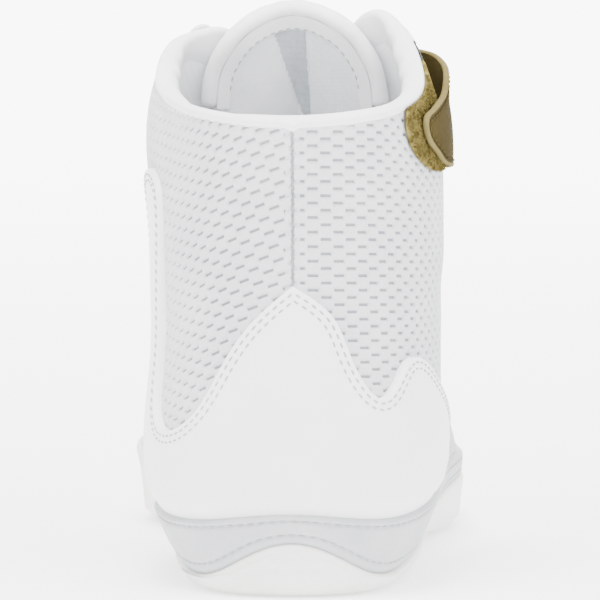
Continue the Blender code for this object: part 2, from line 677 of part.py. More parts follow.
def make_heel_counter():
    """The smooth leather round the heel, peaked at the back seam. On the medial side it runs up as a saddle."""
    peak, collar = COUNTER_PEAK, COLLAR_BACK_HEIGHT
    lateral = through(
        [(0.108, 0.035), (0.088, 0.042), (0.070, 0.050), (0.054, 0.058), (0.0345, 0.0625), (0.0235, 0.0535),
         (0.0170, 0.0605), (0.0105, 0.90 * peak), (0.0015, peak)], 0.007)
    medial = through(
        [(-0.0015, peak), (-0.0120, 0.86 * peak), (-0.0190, 0.0610), (-0.0270, 0.0490), (-0.0370, 0.0440),
         (-0.0480, 0.0455), (-0.0545, 0.0600), (-0.0570, 0.0800), (-0.0565, 0.0980), (-0.0590, 0.858 * collar),
         (-0.0660, 0.898 * collar), (-0.0780, 0.904 * collar), (-0.0880, 0.871 * collar), (-0.0930, 0.0950),
         (-0.0960, 0.0760), (-0.1000, 0.0520)], 0.007)
    bottom = above_band(np.linspace(-0.1060, 0.122, 34))
    outline = np.concatenate([lateral, medial, bottom])
    finish = material("counter_leather", (0.925, 0.925, 0.925), 0.42)
    return pattern_piece("heel_counter", outline, finish, lift=COUNTER_GAP, spacing=0.007)


def level_outline(height):
    """The shaft's outline at one height, and how far round each of its points lies.

    It runs from the front round the medial side and the back to the front again. Where the throat
    is open, the last ends, and the outline goes on to a point in front of it.
    """
    if height in OUTLINES:
        return OUTLINES[height]
    halves = []
    for side in (-1, 1):
        turns = side * np.linspace(0, LATERAL_TURNS[INSTEP], 60)
        rises = rise_at_height(turns, np.full(len(turns), height))
        ends = (rises > 1 - 1e-6) & (np.abs(turns) > LATERAL_TURNS[LOBE])
        count = ends.argmax() if ends.any() else len(turns)
        line = last_points(turns[:count], rises[:count])[:, :2]
        front = [0, line[-1, 1] + FRONT_BULGE * abs(line[-1, 0])]
        halves.append(np.concatenate([line, [front]]))
    medial, lateral = halves
    medial[-1] = lateral[-1] = (medial[-1] + lateral[-1]) / 2
    swings = []
    for line in halves:
        run = np.concatenate([[0], np.cumsum(np.linalg.norm(np.diff(line, axis=0), axis=1))])
        swings.append(run / run[-1])
    points = np.concatenate([medial[:0:-1], lateral])
    OUTLINES[height] = np.concatenate([-swings[0][:0:-1], swings[1]]), points
    return OUTLINES[height]


OUTLINES = {}


def on_hoop(swing, height, lift=0.0):
    """A point on the shaft's outline. Swing is 0 at the back seam and 1 in front, over the tongue."""
    swings, points = level_outline(round(float(height), 5))
    there, before, after = (
        np.array([np.interp((at + 1) % 2 - 1, swings, points[:, axis]) for axis in (0, 1)])
        for at in (swing, swing - 0.03, swing + 0.03)
    )
    tangent = after - before
    outward = np.array([tangent[1], -tangent[0]]) / np.linalg.norm(tangent)
    return np.array([*(there + outward * lift), height])


def slant(height):
    """How much longer a level lift is than one square to the shaft's front, which leans back at its foot."""
    return mix(1.45, 1.0, float(ease(height, 0.115, 0.150)))


def on_shaft_front(x, height, lift):
    """The point of the shaft's level outline in front, at this x."""
    run = np.array([on_hoop(swing, height, lift) for swing in np.linspace(0.6, 1.4, 41)])
    return np.array([x, np.interp(-x, -run[:, 0], run[:, 1]), height])


def tongue_grid():
    """Rows across the tongue, from under the vamp to its arched top."""
    reach = np.sin(np.linspace(math.pi / 2, -math.pi / 2, 13))
    rows = []
    crown = TONGUE_CROWN * (1 - ease(np.abs(reach), 0.10, 0.46))
    insets = crown - UPPER_WALL - TONGUE_CLEARANCE
    for along in np.linspace(THROAT_END + 0.035, 0.40, 7):
        row = []
        for share, inset in zip(reach, insets):
            turn = np.array([ridge_turn(along, 1 if share > 0 else -1)])
            width = abs(share) * TONGUE_WIDTH / 2
            rise = rise_at_width(turn, width) if width > 1e-6 else np.ones(1)
            tucked = mix(inset, insets[0], float(ease(along, THROAT_END - 0.08, THROAT_END)))
            row.append(on_last(turn, rise, tucked)[0])
        rows.append(row)
    base = np.array(rows[-1])
    for step in (0.28, 0.46, 0.64, 0.82, 1.0):
        row = []
        for share, inset, low in zip(reach, insets, base):
            top = TONGUE_HEIGHT - TONGUE_ARCH * (1 - math.sqrt(max(0, 1 - share**2)))
            height = mix(low[2], top, step)
            row.append(on_shaft_front(share * TONGUE_WIDTH / 2 - step * TONGUE_LEAN, height, slant(height) * inset))
        rows.append(row)
    return np.array(rows)


def tube_object(name, points, radius, finish, resolution=2, swell=None):
    """A closed tube along a run of points, as a mesh. Swell holds its thickness at each, as a share."""
    curve = bpy.data.curves.new(name, "CURVE")
    curve.dimensions = "3D"
    curve.bevel_depth = radius
    curve.bevel_resolution = resolution
    curve.use_fill_caps = True
    line = curve.splines.new("POLY")
    line.points.add(len(points) - 1)
    for point, place, share in zip(line.points, points, np.ones(len(points)) if swell is None else swell):
        point.co = (*place, 1)
        point.radius = share
    guide = bpy.data.objects.new(name, curve)
    bpy.context.scene.collection.objects.link(guide)
    bpy.context.view_layer.update()
    mesh = bpy.data.meshes.new_from_object(guide.evaluated_get(bpy.context.evaluated_depsgraph_get()))
    bpy.data.objects.remove(guide)
    shape = bmesh.new()
    shape.from_mesh(mesh)
    bpy.data.meshes.remove(mesh)
    return finish_object(name, shape, finish, turn_out=True)


def make_tongue():
    """The padded tongue, and the roll that binds its arched top."""
    grid = tongue_grid()
    sheet_object("tongue", [grid], material("tongue_mesh", (0.86, 0.865, 0.875), 0.9), TONGUE_THICKNESS, False)
    top, rise = grid[-1], grid[-1] - grid[-2]
    along_edge = np.gradient(top, axis=0)
    facing = np.cross(along_edge, rise)
    facing /= np.linalg.norm(facing, axis=1)[:, None]
    away = np.cross(facing, along_edge)
    away /= np.linalg.norm(away, axis=1)[:, None]
    middle = top - facing * TONGUE_THICKNESS / 2 + away * (TONGUE_ROLL + 2 * SEAM_GAP)
    tube_object("tongue_binding", through(middle, 0.004), TONGUE_ROLL, material("binding", (0.9, 0.9, 0.91), 0.7), 1)
    return grid[:, len(top) // 2]


def make_collar_binding():
    """The soft roll sewn over the collar's edge, from one side of the throat round the back to the other."""
    runs = []
    for side in (-1, 1):
        open_top = np.linspace(0, 1, 400) * side
        cut = throat_rise(open_top) < 1 - 1e-6
        runs.append(abs(open_top[cut.argmax()]))
    within = TURNS[(TURNS > -runs[0] + 0.01) & (TURNS < runs[1] - 0.01)]
    turns = np.concatenate([[-runs[0] + 0.004], within, [runs[1] - 0.004]])
    ones = np.ones(len(turns))
    edge = on_last(turns, ones, -UPPER_WALL / 2)
    upward = last_points(turns, ones) - last_points(turns, ones - 0.02)
    upward /= np.linalg.norm(upward, axis=1)[:, None]
    swell = 1 + 0.15 * ease(np.abs(turns), *LATERAL_TURNS[[ANKLE, LOBE]])
    middle = edge + upward * (COLLAR_ROLL * swell + 3 * SEAM_GAP)[:, None]
    finish = material("collar_roll", (0.9, 0.9, 0.91), 0.75)
    tube_object("collar_binding", middle, COLLAR_ROLL, finish, 1, swell)


def strap_edges(swing):
    """Heights of the strap's lower and upper edge at this swing."""
    places, low, high = zip(*STRAP_OUTLINE)
    return [STRAP_HEIGHT + np.interp(swing, places, edge) * STRAP_WIDTH for edge in (low, high)]


def make_ankle_strap():
    """The ankle strap. It is sewn down on the medial side and closes round the front to the lateral side."""
    swings = np.concatenate([[edge[0] for edge in STRAP_OUTLINE[:4]], np.linspace(STRAP_OUTLINE[4][0], STRAP_ROOT, 20)])
    rows = []
    for share in np.linspace(0, 1, 4):
        row = []
        for swing in swings:
            low, high = strap_edges(swing)
            height = mix(low, high, share)
            lift = mix(STRAP_SIDE_LIFT, STRAP_FRONT_LIFT * slant(height), float(ease(1 - abs(swing - 1), 0.66, 0.86)))
            row.append(on_hoop(swing, height, lift + STRAP_TILT * (height - STRAP_HEIGHT)))
        rows.append(row)
    return sheet_object("ankle_strap", [rows], material("gold_strap", (0.46, 0.41, 0.24), 0.5), STRAP_THICKNESS)


def make_strap_pad():
    """The looped pad on the lateral side that the strap's end presses on to, a little larger than that end."""
    middle = STRAP_HEIGHT - 0.22 * STRAP_WIDTH
    outline = through(
        [(0.082, 0.1175), (0.060, middle - 0.0115), (0.050, middle - 0.0090), (0.0435, middle - 0.0045),
         (0.0415, middle), (0.0430, middle + 0.0050), (0.0480, middle + 0.0090), (0.0580, middle + 0.0125),
         (0.082, middle + 0.0140)], 0.004)
    finish = material("loop_pile", (0.60, 0.53, 0.25), 0.95)
    return pattern_piece("strap_pad", outline, finish, thickness=PAD_WALL)


def eyelet_places(side):
    """Middle of each eyelet on one side, and the way its surface faces, evenly spaced from the top down."""
    turns = np.linspace(STAY_TOP, abs(VAMP_TURN[side]) - EYELET_MARGIN, 60) * side
    rises = throat_rise(turns, EYELET_INSET)
    line = last_points(turns, rises)
    run = np.concatenate([[0], np.cumsum(np.linalg.norm(np.diff(line, axis=0), axis=1))])
    places = np.linspace(0, run[-1], EYELET_ROWS)
    turns, rises = np.interp(places, run, turns), np.interp(places, run, rises)
    lift = OVERLAY_GAP + OVERLAY_WALL + 3 * SEAM_GAP + EYELET_WIRE
    return on_last(turns, rises, lift), last_normals(turns, rises)


def make_eyelets():
    metal = material("eyelet_enamel", (0.85, 0.85, 0.85), 0.35)
    ring = None
    for side, name in ((1, "lateral"), (-1, "medial")):
        for number, (place, normal) in enumerate(zip(*eyelet_places(side)), 1):
            if ring is None:
                bpy.ops.mesh.primitive_torus_add(
                    major_segments=8, minor_segments=4, major_radius=EYELET_RADIUS, minor_radius=EYELET_WIRE)
                made = bpy.context.object
                made.users_collection[0].objects.unlink(made)
                ring = made.data
                ring.materials.append(metal)
                ring.shade_smooth()
            else:
                made = bpy.data.objects.new("eyelet", ring)
            made.name = f"eyelet_{name}_{number}"
            made.location = place
            made.rotation_euler = Vector(normal).to_track_quat("Z", "Y").to_euler()
            SHOE.objects.link(made)


def lace_run(start, end, crest, clear):
    """A lace drawn from one eyelet to another over a crest, ending this far short of each."""
    short = clear / np.linalg.norm(end - start)
    shares = np.linspace(short, 1 - short, 9)[:, None]
    return mix(start, end, shares) + (crest - (start + end) / 2) * (1 - np.abs(2 * shares - 1) ** LACE_SQUARENESS)


def make_laces(tongue_front):
    """The lace's crossings between the eyelets, and the straight bar at its foot."""
    cord = material("lace_cord", (0.93, 0.93, 0.93), 0.8)
    ends = {}
    for side in (1, -1):
        places, normals = eyelet_places(side)
        ends[side] = places + normals * LACE_RADIUS
    centre = through(tongue_front, 0.002)
    clear = EYELET_RADIUS + EYELET_WIRE + LACE_RADIUS + SEAM_GAP

    def crest_over(start, end, layers):
        """The point on the tongue's middle line nearest to the lace's, raised by this many cords."""
        middle = (start + end) / 2
        index = np.linalg.norm(centre - middle, axis=1).argmin()
        along = centre[min(index + 1, len(centre) - 1)] - centre[max(index - 1, 0)]
        out = np.cross(along, (1, 0, 0))
        out *= np.sign(out[1]) / np.linalg.norm(out)
        return centre[index] + out * (layers * LACE_RADIUS + 3 * SEAM_GAP)

    for number in range(EYELET_ROWS - 1):
        strands = []
        for side, layers in ((1, 2.4), (-1, 1.3)):
            start, end = ends[side][number], ends[-side][number + 1]
            name = f"lace_crossing_{number + 1}" + ("" if side > 0 else "_under")
            strands.append(tube_object(name, lace_run(start, end, crest_over(start, end, layers), clear), LACE_RADIUS, cord, 1))
        over, under = strands
        SHOE.objects.unlink(under)
        CUTTERS.objects.link(under)
        under.hide_render = True
        under.display_type = "WIRE"
        union = over.modifiers.new("Join", "BOOLEAN")
        union.operation = "UNION"
        union.object = under
    start, end = ends[1][-1] + (0, 2 * SEAM_GAP + LACE_RADIUS, 0), ends[-1][-1] + (0, 2 * SEAM_GAP + LACE_RADIUS, 0)
    tube_object("lace_bar", lace_run(start, end, crest_over(start, end, 3.2), 1.25 * clear), LACE_RADIUS, cord, 1)


for old in list(bpy.data.objects):
    bpy.data.objects.remove(old)
SHOE = bpy.data.collections.new("Wrestling shoe")
CUTTERS = bpy.data.collections.new("Cutters")
bpy.context.scene.collection.children.link(SHOE)
bpy.context.scene.collection.children.link(CUTTERS)

make_upper()
make_outsole()
make_insole()
make_rand()
make_toe_cap()
make_eyestay()
make_heel_counter()
tongue_front = make_tongue()
make_collar_binding()
make_strap_pad()
make_ankle_strap()
make_eyelets()
make_laces(tongue_front)
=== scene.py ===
import math
from collections import namedtuple

import bmesh
import bpy
import numpy as np
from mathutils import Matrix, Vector
from mathutils.geometry import delaunay_2d_cdt


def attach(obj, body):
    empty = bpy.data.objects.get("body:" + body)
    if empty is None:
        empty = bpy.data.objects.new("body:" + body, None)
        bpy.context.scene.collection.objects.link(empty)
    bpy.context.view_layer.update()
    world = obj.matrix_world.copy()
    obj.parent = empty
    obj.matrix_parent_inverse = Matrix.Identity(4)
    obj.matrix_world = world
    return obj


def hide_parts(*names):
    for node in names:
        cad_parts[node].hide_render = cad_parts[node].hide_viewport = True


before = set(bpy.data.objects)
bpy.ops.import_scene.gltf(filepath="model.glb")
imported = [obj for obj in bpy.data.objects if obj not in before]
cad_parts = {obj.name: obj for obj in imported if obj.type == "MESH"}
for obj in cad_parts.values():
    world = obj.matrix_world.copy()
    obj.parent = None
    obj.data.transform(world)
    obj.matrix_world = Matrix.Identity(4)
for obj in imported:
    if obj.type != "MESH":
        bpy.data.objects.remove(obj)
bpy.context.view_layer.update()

# The studio. One right shoe stands on a plain pale floor, seen from behind and a little from its
# outer side through a long lens, under one large soft light overhead and softer light all round.
VIEW_SIDE = math.radians(1.8)
CAMERA_DISTANCE = 0.850
CAMERA_HEIGHT = 0.120
HEEL_BACK_Y = -0.040
AIM = (0.0022, HEEL_BACK_Y, 0.0804)
LIGHTS_AIM = (0, 0.03, 0.07)
FLOOR_REACH = 40
camera = bpy.data.objects.new("Camera", bpy.data.cameras.new("Camera"))
bpy.context.scene.collection.objects.link(camera)
camera.data.lens = 191.7
camera.data.sensor_width = 36
camera.location = (
    CAMERA_DISTANCE * math.sin(VIEW_SIDE), HEEL_BACK_Y - CAMERA_DISTANCE * math.cos(VIEW_SIDE), CAMERA_HEIGHT)
camera.rotation_euler = (Vector(AIM) - camera.location).to_track_quat("-Z", "Y").to_euler()
bpy.context.scene.camera = camera


def add_node(tree, kind, inputs=(), **settings):
    """One shader node, with its settings, and its inputs as values or as links from other sockets."""
    made = tree.nodes.new("ShaderNode" + kind)
    for key, value in settings.items():
        setattr(made, key, value)
    for socket, value in dict(inputs).items():
        if isinstance(value, bpy.types.NodeSocket):
            tree.links.new(value, made.inputs[socket])
        else:
            made.inputs[socket].default_value = value
    return made


def linear(colour):
    """A colour as seen on a screen, from 0 to 255, as the shader's numbers."""
    shares = [part / 255 for part in colour]
    return (*(((c + 0.055) / 1.055) ** 2.4 if c > 0.04045 else c / 12.92 for c in shares), 1)


world = bpy.data.worlds.new("Studio")
bpy.context.scene.world = world
world.use_nodes = True
world.node_tree.nodes["Background"].inputs["Color"].default_value = (1, 1, 1, 1)
# The studio's far wall, beyond the toe, is lit more than the rest of the room.
sky = world.node_tree
heading = add_node(sky, "SeparateXYZ", {0: add_node(sky, "TexCoord").outputs["Generated"]})
room = add_node(sky, "MapRange", {
    "Value": heading.outputs["Y"], "From Min": 0.86, "From Max": 0.97, "To Min": 2.5, "To Max": 9.0},
    interpolation_type="SMOOTHSTEP")
sky.links.new(room.outputs["Result"], sky.nodes["Background"].inputs["Strength"])

for label, place, size, power in (
    ("Overhead light", (0.1, -0.35, 1.25), 1.1, 27.0),
    ("Left light", (-1.1, -0.7, 0.55), 0.8, 3.0),
    ("Right light", (1.2, -0.6, 0.45), 0.8, 5.0),
    ("Collar light", (-0.12, -0.16, 1.0), 0.35, 13.0),
):
    lamp = bpy.data.objects.new(label, bpy.data.lights.new(label, "AREA"))
    lamp.data.size = size
    lamp.data.energy = power
    lamp.location = place
    lamp.rotation_euler = (Vector(LIGHTS_AIM) - lamp.location).to_track_quat("-Z", "Y").to_euler()
    bpy.context.scene.collection.objects.link(lamp)

floor_mesh = bpy.data.meshes.new("Floor")
floor_mesh.from_pydata(
    [(x * FLOOR_REACH, y * FLOOR_REACH, 0) for x, y in ((-1, -1), (1, -1), (1, 1), (-1, 1))], [], [(0, 1, 2, 3)])
floor = bpy.data.objects.new("Floor", floor_mesh)
bpy.context.scene.collection.objects.link(floor)
paper = bpy.data.materials.new("Floor paper")
paper.use_nodes = True
shader = paper.node_tree.nodes["Principled BSDF"]
shader.inputs["Base Color"].default_value = (0.96, 0.96, 0.96, 1)
shader.inputs["Roughness"].default_value = 0.9
shader.inputs["Specular IOR Level"].default_value = 0.1
shader.inputs["Emission Color"].default_value = (1, 1, 1, 1)
# The floor beyond the toe is lit like the wall that it runs up to.
spot = add_node(paper.node_tree, "SeparateXYZ", {0: add_node(paper.node_tree, "TexCoord").outputs["Object"]})
far = add_node(paper.node_tree, "Math", {0: spot.outputs["Y"], 1: 0.9}, operation="ADD")
near = add_node(paper.node_tree, "Math", {0: 1.0, 1: far.outputs[0]}, operation="DIVIDE")
lit = add_node(paper.node_tree, "MapRange", {
    "Value": near.outputs[0], "From Min": 0.95, "From Max": 0.05, "To Min": 1.0, "To Max": 6.2})
paper.node_tree.links.new(lit.outputs["Result"], shader.inputs["Emission Strength"])
floor_mesh.materials.append(paper)

# The upper. It is a knitted fabric with rows of sunk slots, cut in two halves that meet at the
# heel's back seam, over a thin foam and a smooth lining. It was pulled over a last, and its shape is
# that of the last: a surface through eleven sections, each with five levels from the foot to the top.
# The last: its lengths, widths and heights.
LAST_LENGTH = 0.270
HEEL_SETBACK = 0.040
BALL_WIDTH = 0.099
HEEL_WIDTH = 0.073
ANKLE_WIDTH = 0.085
COLLAR_BACK_HEIGHT = 0.127
COLLAR_PEAK_HEIGHT = 0.1570
INSTEP_HEIGHT = 0.088
TOE_HEIGHT = 0.054

# What lies between the last and the floor.
HEEL_STACK = 0.0052
BALL_STACK = 0.0055
ARCH_LIFT = 0.0020
WAIST_LIFT = 0.0030
TOE_SPRING = 0.0090

# Walls, and the throat's opening.
OVERLAY_WALL = 0.0010
UPPER_WALL = 0.0025
THROAT_WIDTH = 0.026
THROAT_FLARE = 0.003
THROAT_END = 0.61

Section = namedtuple("Section", (
    "name foot_width leg_width height top_drop sole_lateral sole_medial band_lateral band_medial"))
SECTIONS = (
    Section("heel_back", HEEL_WIDTH, ANKLE_WIDTH, COLLAR_BACK_HEIGHT, 0, 0.0155, 0.0155, 0.0230, 0.0230),
    Section("heel_turn", HEEL_WIDTH, ANKLE_WIDTH, 1.015 * COLLAR_BACK_HEIGHT, 0, 0.0075, 0.0075, 0.0212, 0.0212),
    Section("heel_side", HEEL_WIDTH, ANKLE_WIDTH, 1.050 * COLLAR_BACK_HEIGHT, 0, 0.0072, 0.0072, 0.0225, 0.0210),
    Section("ankle", HEEL_WIDTH, ANKLE_WIDTH, 0.93 * COLLAR_PEAK_HEIGHT, 0.002, 0.0088, 0.0088, 0.0250, 0.0220),
    Section("lobe", HEEL_WIDTH, ANKLE_WIDTH, COLLAR_PEAK_HEIGHT, 0.005, 0.0108, 0.0105, 0.0255, 0.0225),
    Section("shin", BALL_WIDTH, BALL_WIDTH, 1.42 * INSTEP_HEIGHT, 0, 0.0150, 0.0135, 0.0255, 0.0235),
    Section("instep", BALL_WIDTH, BALL_WIDTH, INSTEP_HEIGHT, 0, 0.0185, 0.0180, 0.0260, 0.0270),
    Section("ball", BALL_WIDTH, BALL_WIDTH, 0.735 * INSTEP_HEIGHT, 0, 0.0175, 0.0265, 0.0255, 0.0330),
    Section("toe_side", BALL_WIDTH, BALL_WIDTH, TOE_HEIGHT, 0, 0.0180, 0.0200, 0.0260, 0.0280),
    Section("toe_turn", BALL_WIDTH, BALL_WIDTH, 0.89 * TOE_HEIGHT, 0, 0.0230, 0.0230, 0.0300, 0.0300),
    Section("toe_front", BALL_WIDTH, BALL_WIDTH, 0.82 * TOE_HEIGHT, 0, 0.0280, 0.0280, 0.0340, 0.0340),
)
ANKLE, LOBE, SHIN, INSTEP, TOE_SIDE = (
    [section.name for section in SECTIONS].index(name) for name in ("ankle", "lobe", "shin", "instep", "toe_side"))

# One table for each level of the last, one row for each section, from the heel to the toe.
# along: share of LAST_LENGTH from the heel's back. out: share of half the section's width, the
# foot's at the first two levels and the leg's above. up: share of the section's height.
Row = namedtuple("Row", "along_lateral along_medial out_lateral out_medial up")
FOOT = (
    Row(0.015, 0.015, 0.000, 0.000, 0),
    Row(0.037, 0.037, 0.493, 0.493, 0),
    Row(0.126, 0.126, 0.770, 0.770, 0),
    Row(0.237, 0.237, 0.863, 0.836, 0),
    Row(0.319, 0.319, 0.904, 0.781, 0),
    Row(0.407, 0.400, 0.700, 0.545, 0),
    Row(0.541, 0.541, 0.830, 0.700, 0),
    Row(0.644, 0.704, 0.920, 1.035, 0),
    Row(0.793, 0.837, 0.778, 0.859, 0),
    Row(0.926, 0.944, 0.343, 0.566, 0),
    Row(0.993, 0.993, -0.162, 0.162, 0),
)
BELLY = (
    Row(0.000, 0.000, 0.000, 0.000, 0.218),
    Row(0.024, 0.024, 0.603, 0.603, 0.217),
    Row(0.119, 0.119, 1.000, 1.000, 0.206),
    Row(0.237, 0.237, 1.085, 1.110, 0.188),
    Row(0.319, 0.319, 1.120, 1.100, 0.180),
    Row(0.407, 0.400, 0.848, 0.778, 0.220),
    Row(0.541, 0.541, 0.939, 0.885, 0.300),
    Row(0.644, 0.704, 0.940, 1.090, 0.330),
    Row(0.796, 0.844, 0.869, 0.899, 0.410),
    Row(0.937, 0.956, 0.404, 0.626, 0.495),
    Row(1.000, 1.000, -0.162, 0.162, 0.545),
)
SIDE = (
    Row(0.015, 0.015, 0.000, 0.000, 0.492),
    Row(0.039, 0.039, 0.518, 0.518, 0.486),
    Row(0.130, 0.130, 0.859, 0.830, 0.457),
    Row(0.237, 0.237, 0.955, 0.925, 0.417),
    Row(0.319, 0.319, 0.915, 0.910, 0.392),
    Row(0.400, 0.400, 0.768, 0.758, 0.469),
    Row(0.537, 0.537, 0.727, 0.737, 0.568),
    Row(0.641, 0.696, 0.747, 0.828, 0.589),
    Row(0.785, 0.822, 0.626, 0.697, 0.654),
    Row(0.907, 0.926, 0.263, 0.424, 0.716),
    Row(0.970, 0.970, -0.152, 0.152, 0.773),
)
SHOULDER = (
    Row(0.030, 0.030, 0.000, 0.000, 0.778),
    Row(0.052, 0.052, 0.494, 0.494, 0.774),
    Row(0.137, 0.137, 0.840, 0.850, 0.780),
    Row(0.237, 0.237, 0.965, 1.030, 0.810),
    Row(0.311, 0.311, 0.885, 0.960, 0.735),
    Row(0.396, 0.396, 0.525, 0.525, 0.750),
    Row(0.530, 0.530, 0.374, 0.394, 0.830),
    Row(0.641, 0.678, 0.364, 0.424, 0.840),
    Row(0.763, 0.781, 0.303, 0.364, 0.880),
    Row(0.859, 0.870, 0.081, 0.242, 0.895),
    Row(0.926, 0.926, -0.121, 0.121, 0.910),
)
TOP = (
    Row(0.011, 0.011, 0.000, 0.000, 1),
    Row(0.035, 0.035, 0.482, 0.482, 1),
    Row(0.122, 0.122, 0.755, 0.800, 1),
    Row(0.215, 0.215, 0.800, 0.928, 1),
    Row(0.296, 0.296, 0.510, 0.660, 1),
    Row(0.381, 0.381, 0.000, 0.000, 1),
    Row(0.522, 0.522, 0.000, 0.000, 1),
    Row(0.652, 0.652, 0.000, 0.000, 1),
    Row(0.756, 0.756, -0.050, 0.050, 1),
    Row(0.837, 0.837, -0.100, 0.100, 1),
    Row(0.896, 0.896, -0.121, 0.121, 1),
)
LEVELS = (FOOT, BELLY, SIDE, SHOULDER, TOP)
LEVEL_RISES = np.array((0, 0.18, 0.44, 0.74, 1))


def mix(first, second, share):
    """What lies this share of the way from the first to the second."""
    return first + (second - first) * share


def ease(value, start, end):
    """0 before start, 1 after end, and a smooth ramp between them."""
    share = np.clip((value - start) / (end - start), 0, 1)
    return share * share * (3 - 2 * share)


def sole_underside(along):
    """Height of the sole's underside, flat under the heel and the ball."""
    arch = ease(along, 0.27, 0.38) * (1 - ease(along, 0.47, 0.58))
    spring = np.clip((along - 0.76) / 0.24, 0, None) ** 2
    return ARCH_LIFT * arch + TOE_SPRING * spring


def footbed(along):
    """Height of the last's foot above the floor."""
    waist = ease(along, 0.22, 0.38) * (1 - ease(along, 0.45, 0.62))
    stack = mix(HEEL_STACK, BALL_STACK, ease(along, 0.25, 0.62))
    return sole_underside(along) + stack + (WAIST_LIFT - ARCH_LIFT) * waist


def station(y):
    """Share of the last's length at this y."""
    return (y + HEEL_SETBACK) / LAST_LENGTH


def unit(vectors):
    """The vectors at a length of 1."""
    return vectors / np.linalg.norm(vectors, axis=-1, keepdims=True)


def run_along(points):
    """The distance along a run of points, at each of them."""
    return np.concatenate([[0], np.cumsum(np.linalg.norm(np.diff(points, axis=0), axis=1))])


def last_corner(level, index, side):
    """The last's own point on one level, section and side."""
    row, section = level[index], SECTIONS[index]
    along = row.along_lateral if side > 0 else row.along_medial
    out = row.out_lateral if side > 0 else row.out_medial
    foot = level in (FOOT, BELLY)
    width = section.foot_width if foot else section.leg_width
    height = footbed(along) if level is FOOT else row.up * section.height
    if level is TOP and side < 0:
        height -= section.top_drop
    return side * out * width / 2, along * LAST_LENGTH - HEEL_SETBACK, height


def knot_slopes(knots, points, end_slope=None):
    """Slopes at the knots of the cubic spline through the points, free at its ends unless one is given."""
    count = len(knots)
    step = np.diff(knots)
    chord = np.diff(points, axis=0) / step.reshape(-1, *[1] * (points.ndim - 1))
    rows = np.zeros((count, count))
    sums = np.zeros(points.shape)
    rows[0, :2] = 2, 1
    sums[0] = 3 * chord[0]
    for i in range(1, count - 1):
        rows[i, i - 1 : i + 2] = step[i], 2 * (step[i - 1] + step[i]), step[i - 1]
        sums[i] = 3 * (step[i] * chord[i - 1] + step[i - 1] * chord[i])
    if end_slope is None:
        rows[-1, -2:] = 1, 2
        sums[-1] = 3 * chord[-1]
    else:
        rows[-1, -1] = 1
        sums[-1] = end_slope
    return np.linalg.solve(rows, sums.reshape(count, -1)).reshape(points.shape)


def on_spline(knots, points, slopes, at):
    """Points of the spline. Where it is a stack of splines, at holds one place on each."""
    left = np.clip(np.searchsorted(knots, at, side="right") - 1, 0, len(knots) - 2)
    each = (np.arange(len(at)),) if points.ndim == 3 else ()
    step = (knots[left + 1] - knots[left])[:, None]
    share = (at - knots[left])[:, None] / step
    start, end = points[(left, *each)], points[(left + 1, *each)]
    leave, arrive = slopes[(left, *each)] * step, slopes[(left + 1, *each)] * step
    bend = start - end
    return start + share * (leave + share * (-3 * bend - 2 * leave - arrive + share * (2 * bend + leave + arrive)))


def closed_spline(knots, points, period):
    """A spline that closes on itself: its turn is repeated before and after."""
    long_knots = np.concatenate([knots - period, knots, knots + period])
    long_points = np.concatenate([points] * 3)
    return long_knots, long_points, knot_slopes(long_knots, long_points)


def side_turns(side):
    """The turn at each section on one side, from the length of the belly's chords."""
    corners = np.array([last_corner(BELLY, index, side) for index in range(len(SECTIONS))])
    run = run_along(corners)
    return run / run[-1]


LATERAL_TURNS, MEDIAL_TURNS = side_turns(1), side_turns(-1)
RING_KNOTS = np.concatenate([-MEDIAL_TURNS[:0:-1], LATERAL_TURNS[:-1]])


def ring_of(values_lateral, values_medial):
    """A closed spline round the shoe through one value or point for each section and side."""
    ring = np.concatenate([values_medial[:0:-1], values_lateral[:-1]])
    return closed_spline(RING_KNOTS, ring, 2)


RINGS = [
    ring_of(*(np.array([last_corner(level, i, side) for i in range(len(SECTIONS))]) for side in (1, -1)))
    for level in LEVELS
]
SOLE_RING = ring_of(*(np.array([[getattr(s, name)] for s in SECTIONS]) for name in ("sole_lateral", "sole_medial")))
BAND_RING = ring_of(*(np.array([[getattr(s, name)] for s in SECTIONS]) for name in ("band_lateral", "band_medial")))


def last_points(turn, rise):
    """Points of the last. In front of the shin the two sides meet in one ridge."""
    here = np.stack([on_spline(*ring, turn) for ring in RINGS])
    across = np.stack([on_spline(*ring, -turn) for ring in RINGS])
    here[0, :, 2] = footbed(station(here[0, :, 1]))
    closed = ease(np.abs(turn), LATERAL_TURNS[SHIN], LATERAL_TURNS[INSTEP])[:, None]
    here[4] = mix(here[4], (here[4] + across[4]) / 2, closed)
    free = knot_slopes(LEVEL_RISES, here)
    level_off = (across[3] - here[3]) / (2 * (LEVEL_RISES[4] - LEVEL_RISES[3]))
    slopes = knot_slopes(LEVEL_RISES, here, mix(free[4], level_off, closed))
    return on_spline(LEVEL_RISES, here, slopes, rise)


def one_side_normals(turn, rise):
    """The way one side's surface faces, from points just beside each place."""
    step = 0.002
    rise = np.clip(rise, step, 1 - 2 * step)
    round_it = last_points(turn + step, rise) - last_points(turn - step, rise)
    up_it = last_points(turn, rise + step) - last_points(turn, rise - step)
    normal = np.cross(round_it, up_it)
    return unit(normal)


def last_normals(turn, rise):
    """The way the last's surface faces. The two sides agree along the ridge where they meet."""
    normal = one_side_normals(turn, rise)
    meets = (rise > 0.98) & (np.abs(turn) > LATERAL_TURNS[SHIN])
    if meets.any():
        other = one_side_normals(-turn[meets], rise[meets])
        share = ease(rise[meets], 0.98, 0.9999) * ease(np.abs(turn[meets]), *LATERAL_TURNS[[SHIN, INSTEP]])
        normal[meets] = mix(normal[meets], (normal[meets] + other) / 2, share[:, None])
    return unit(normal)


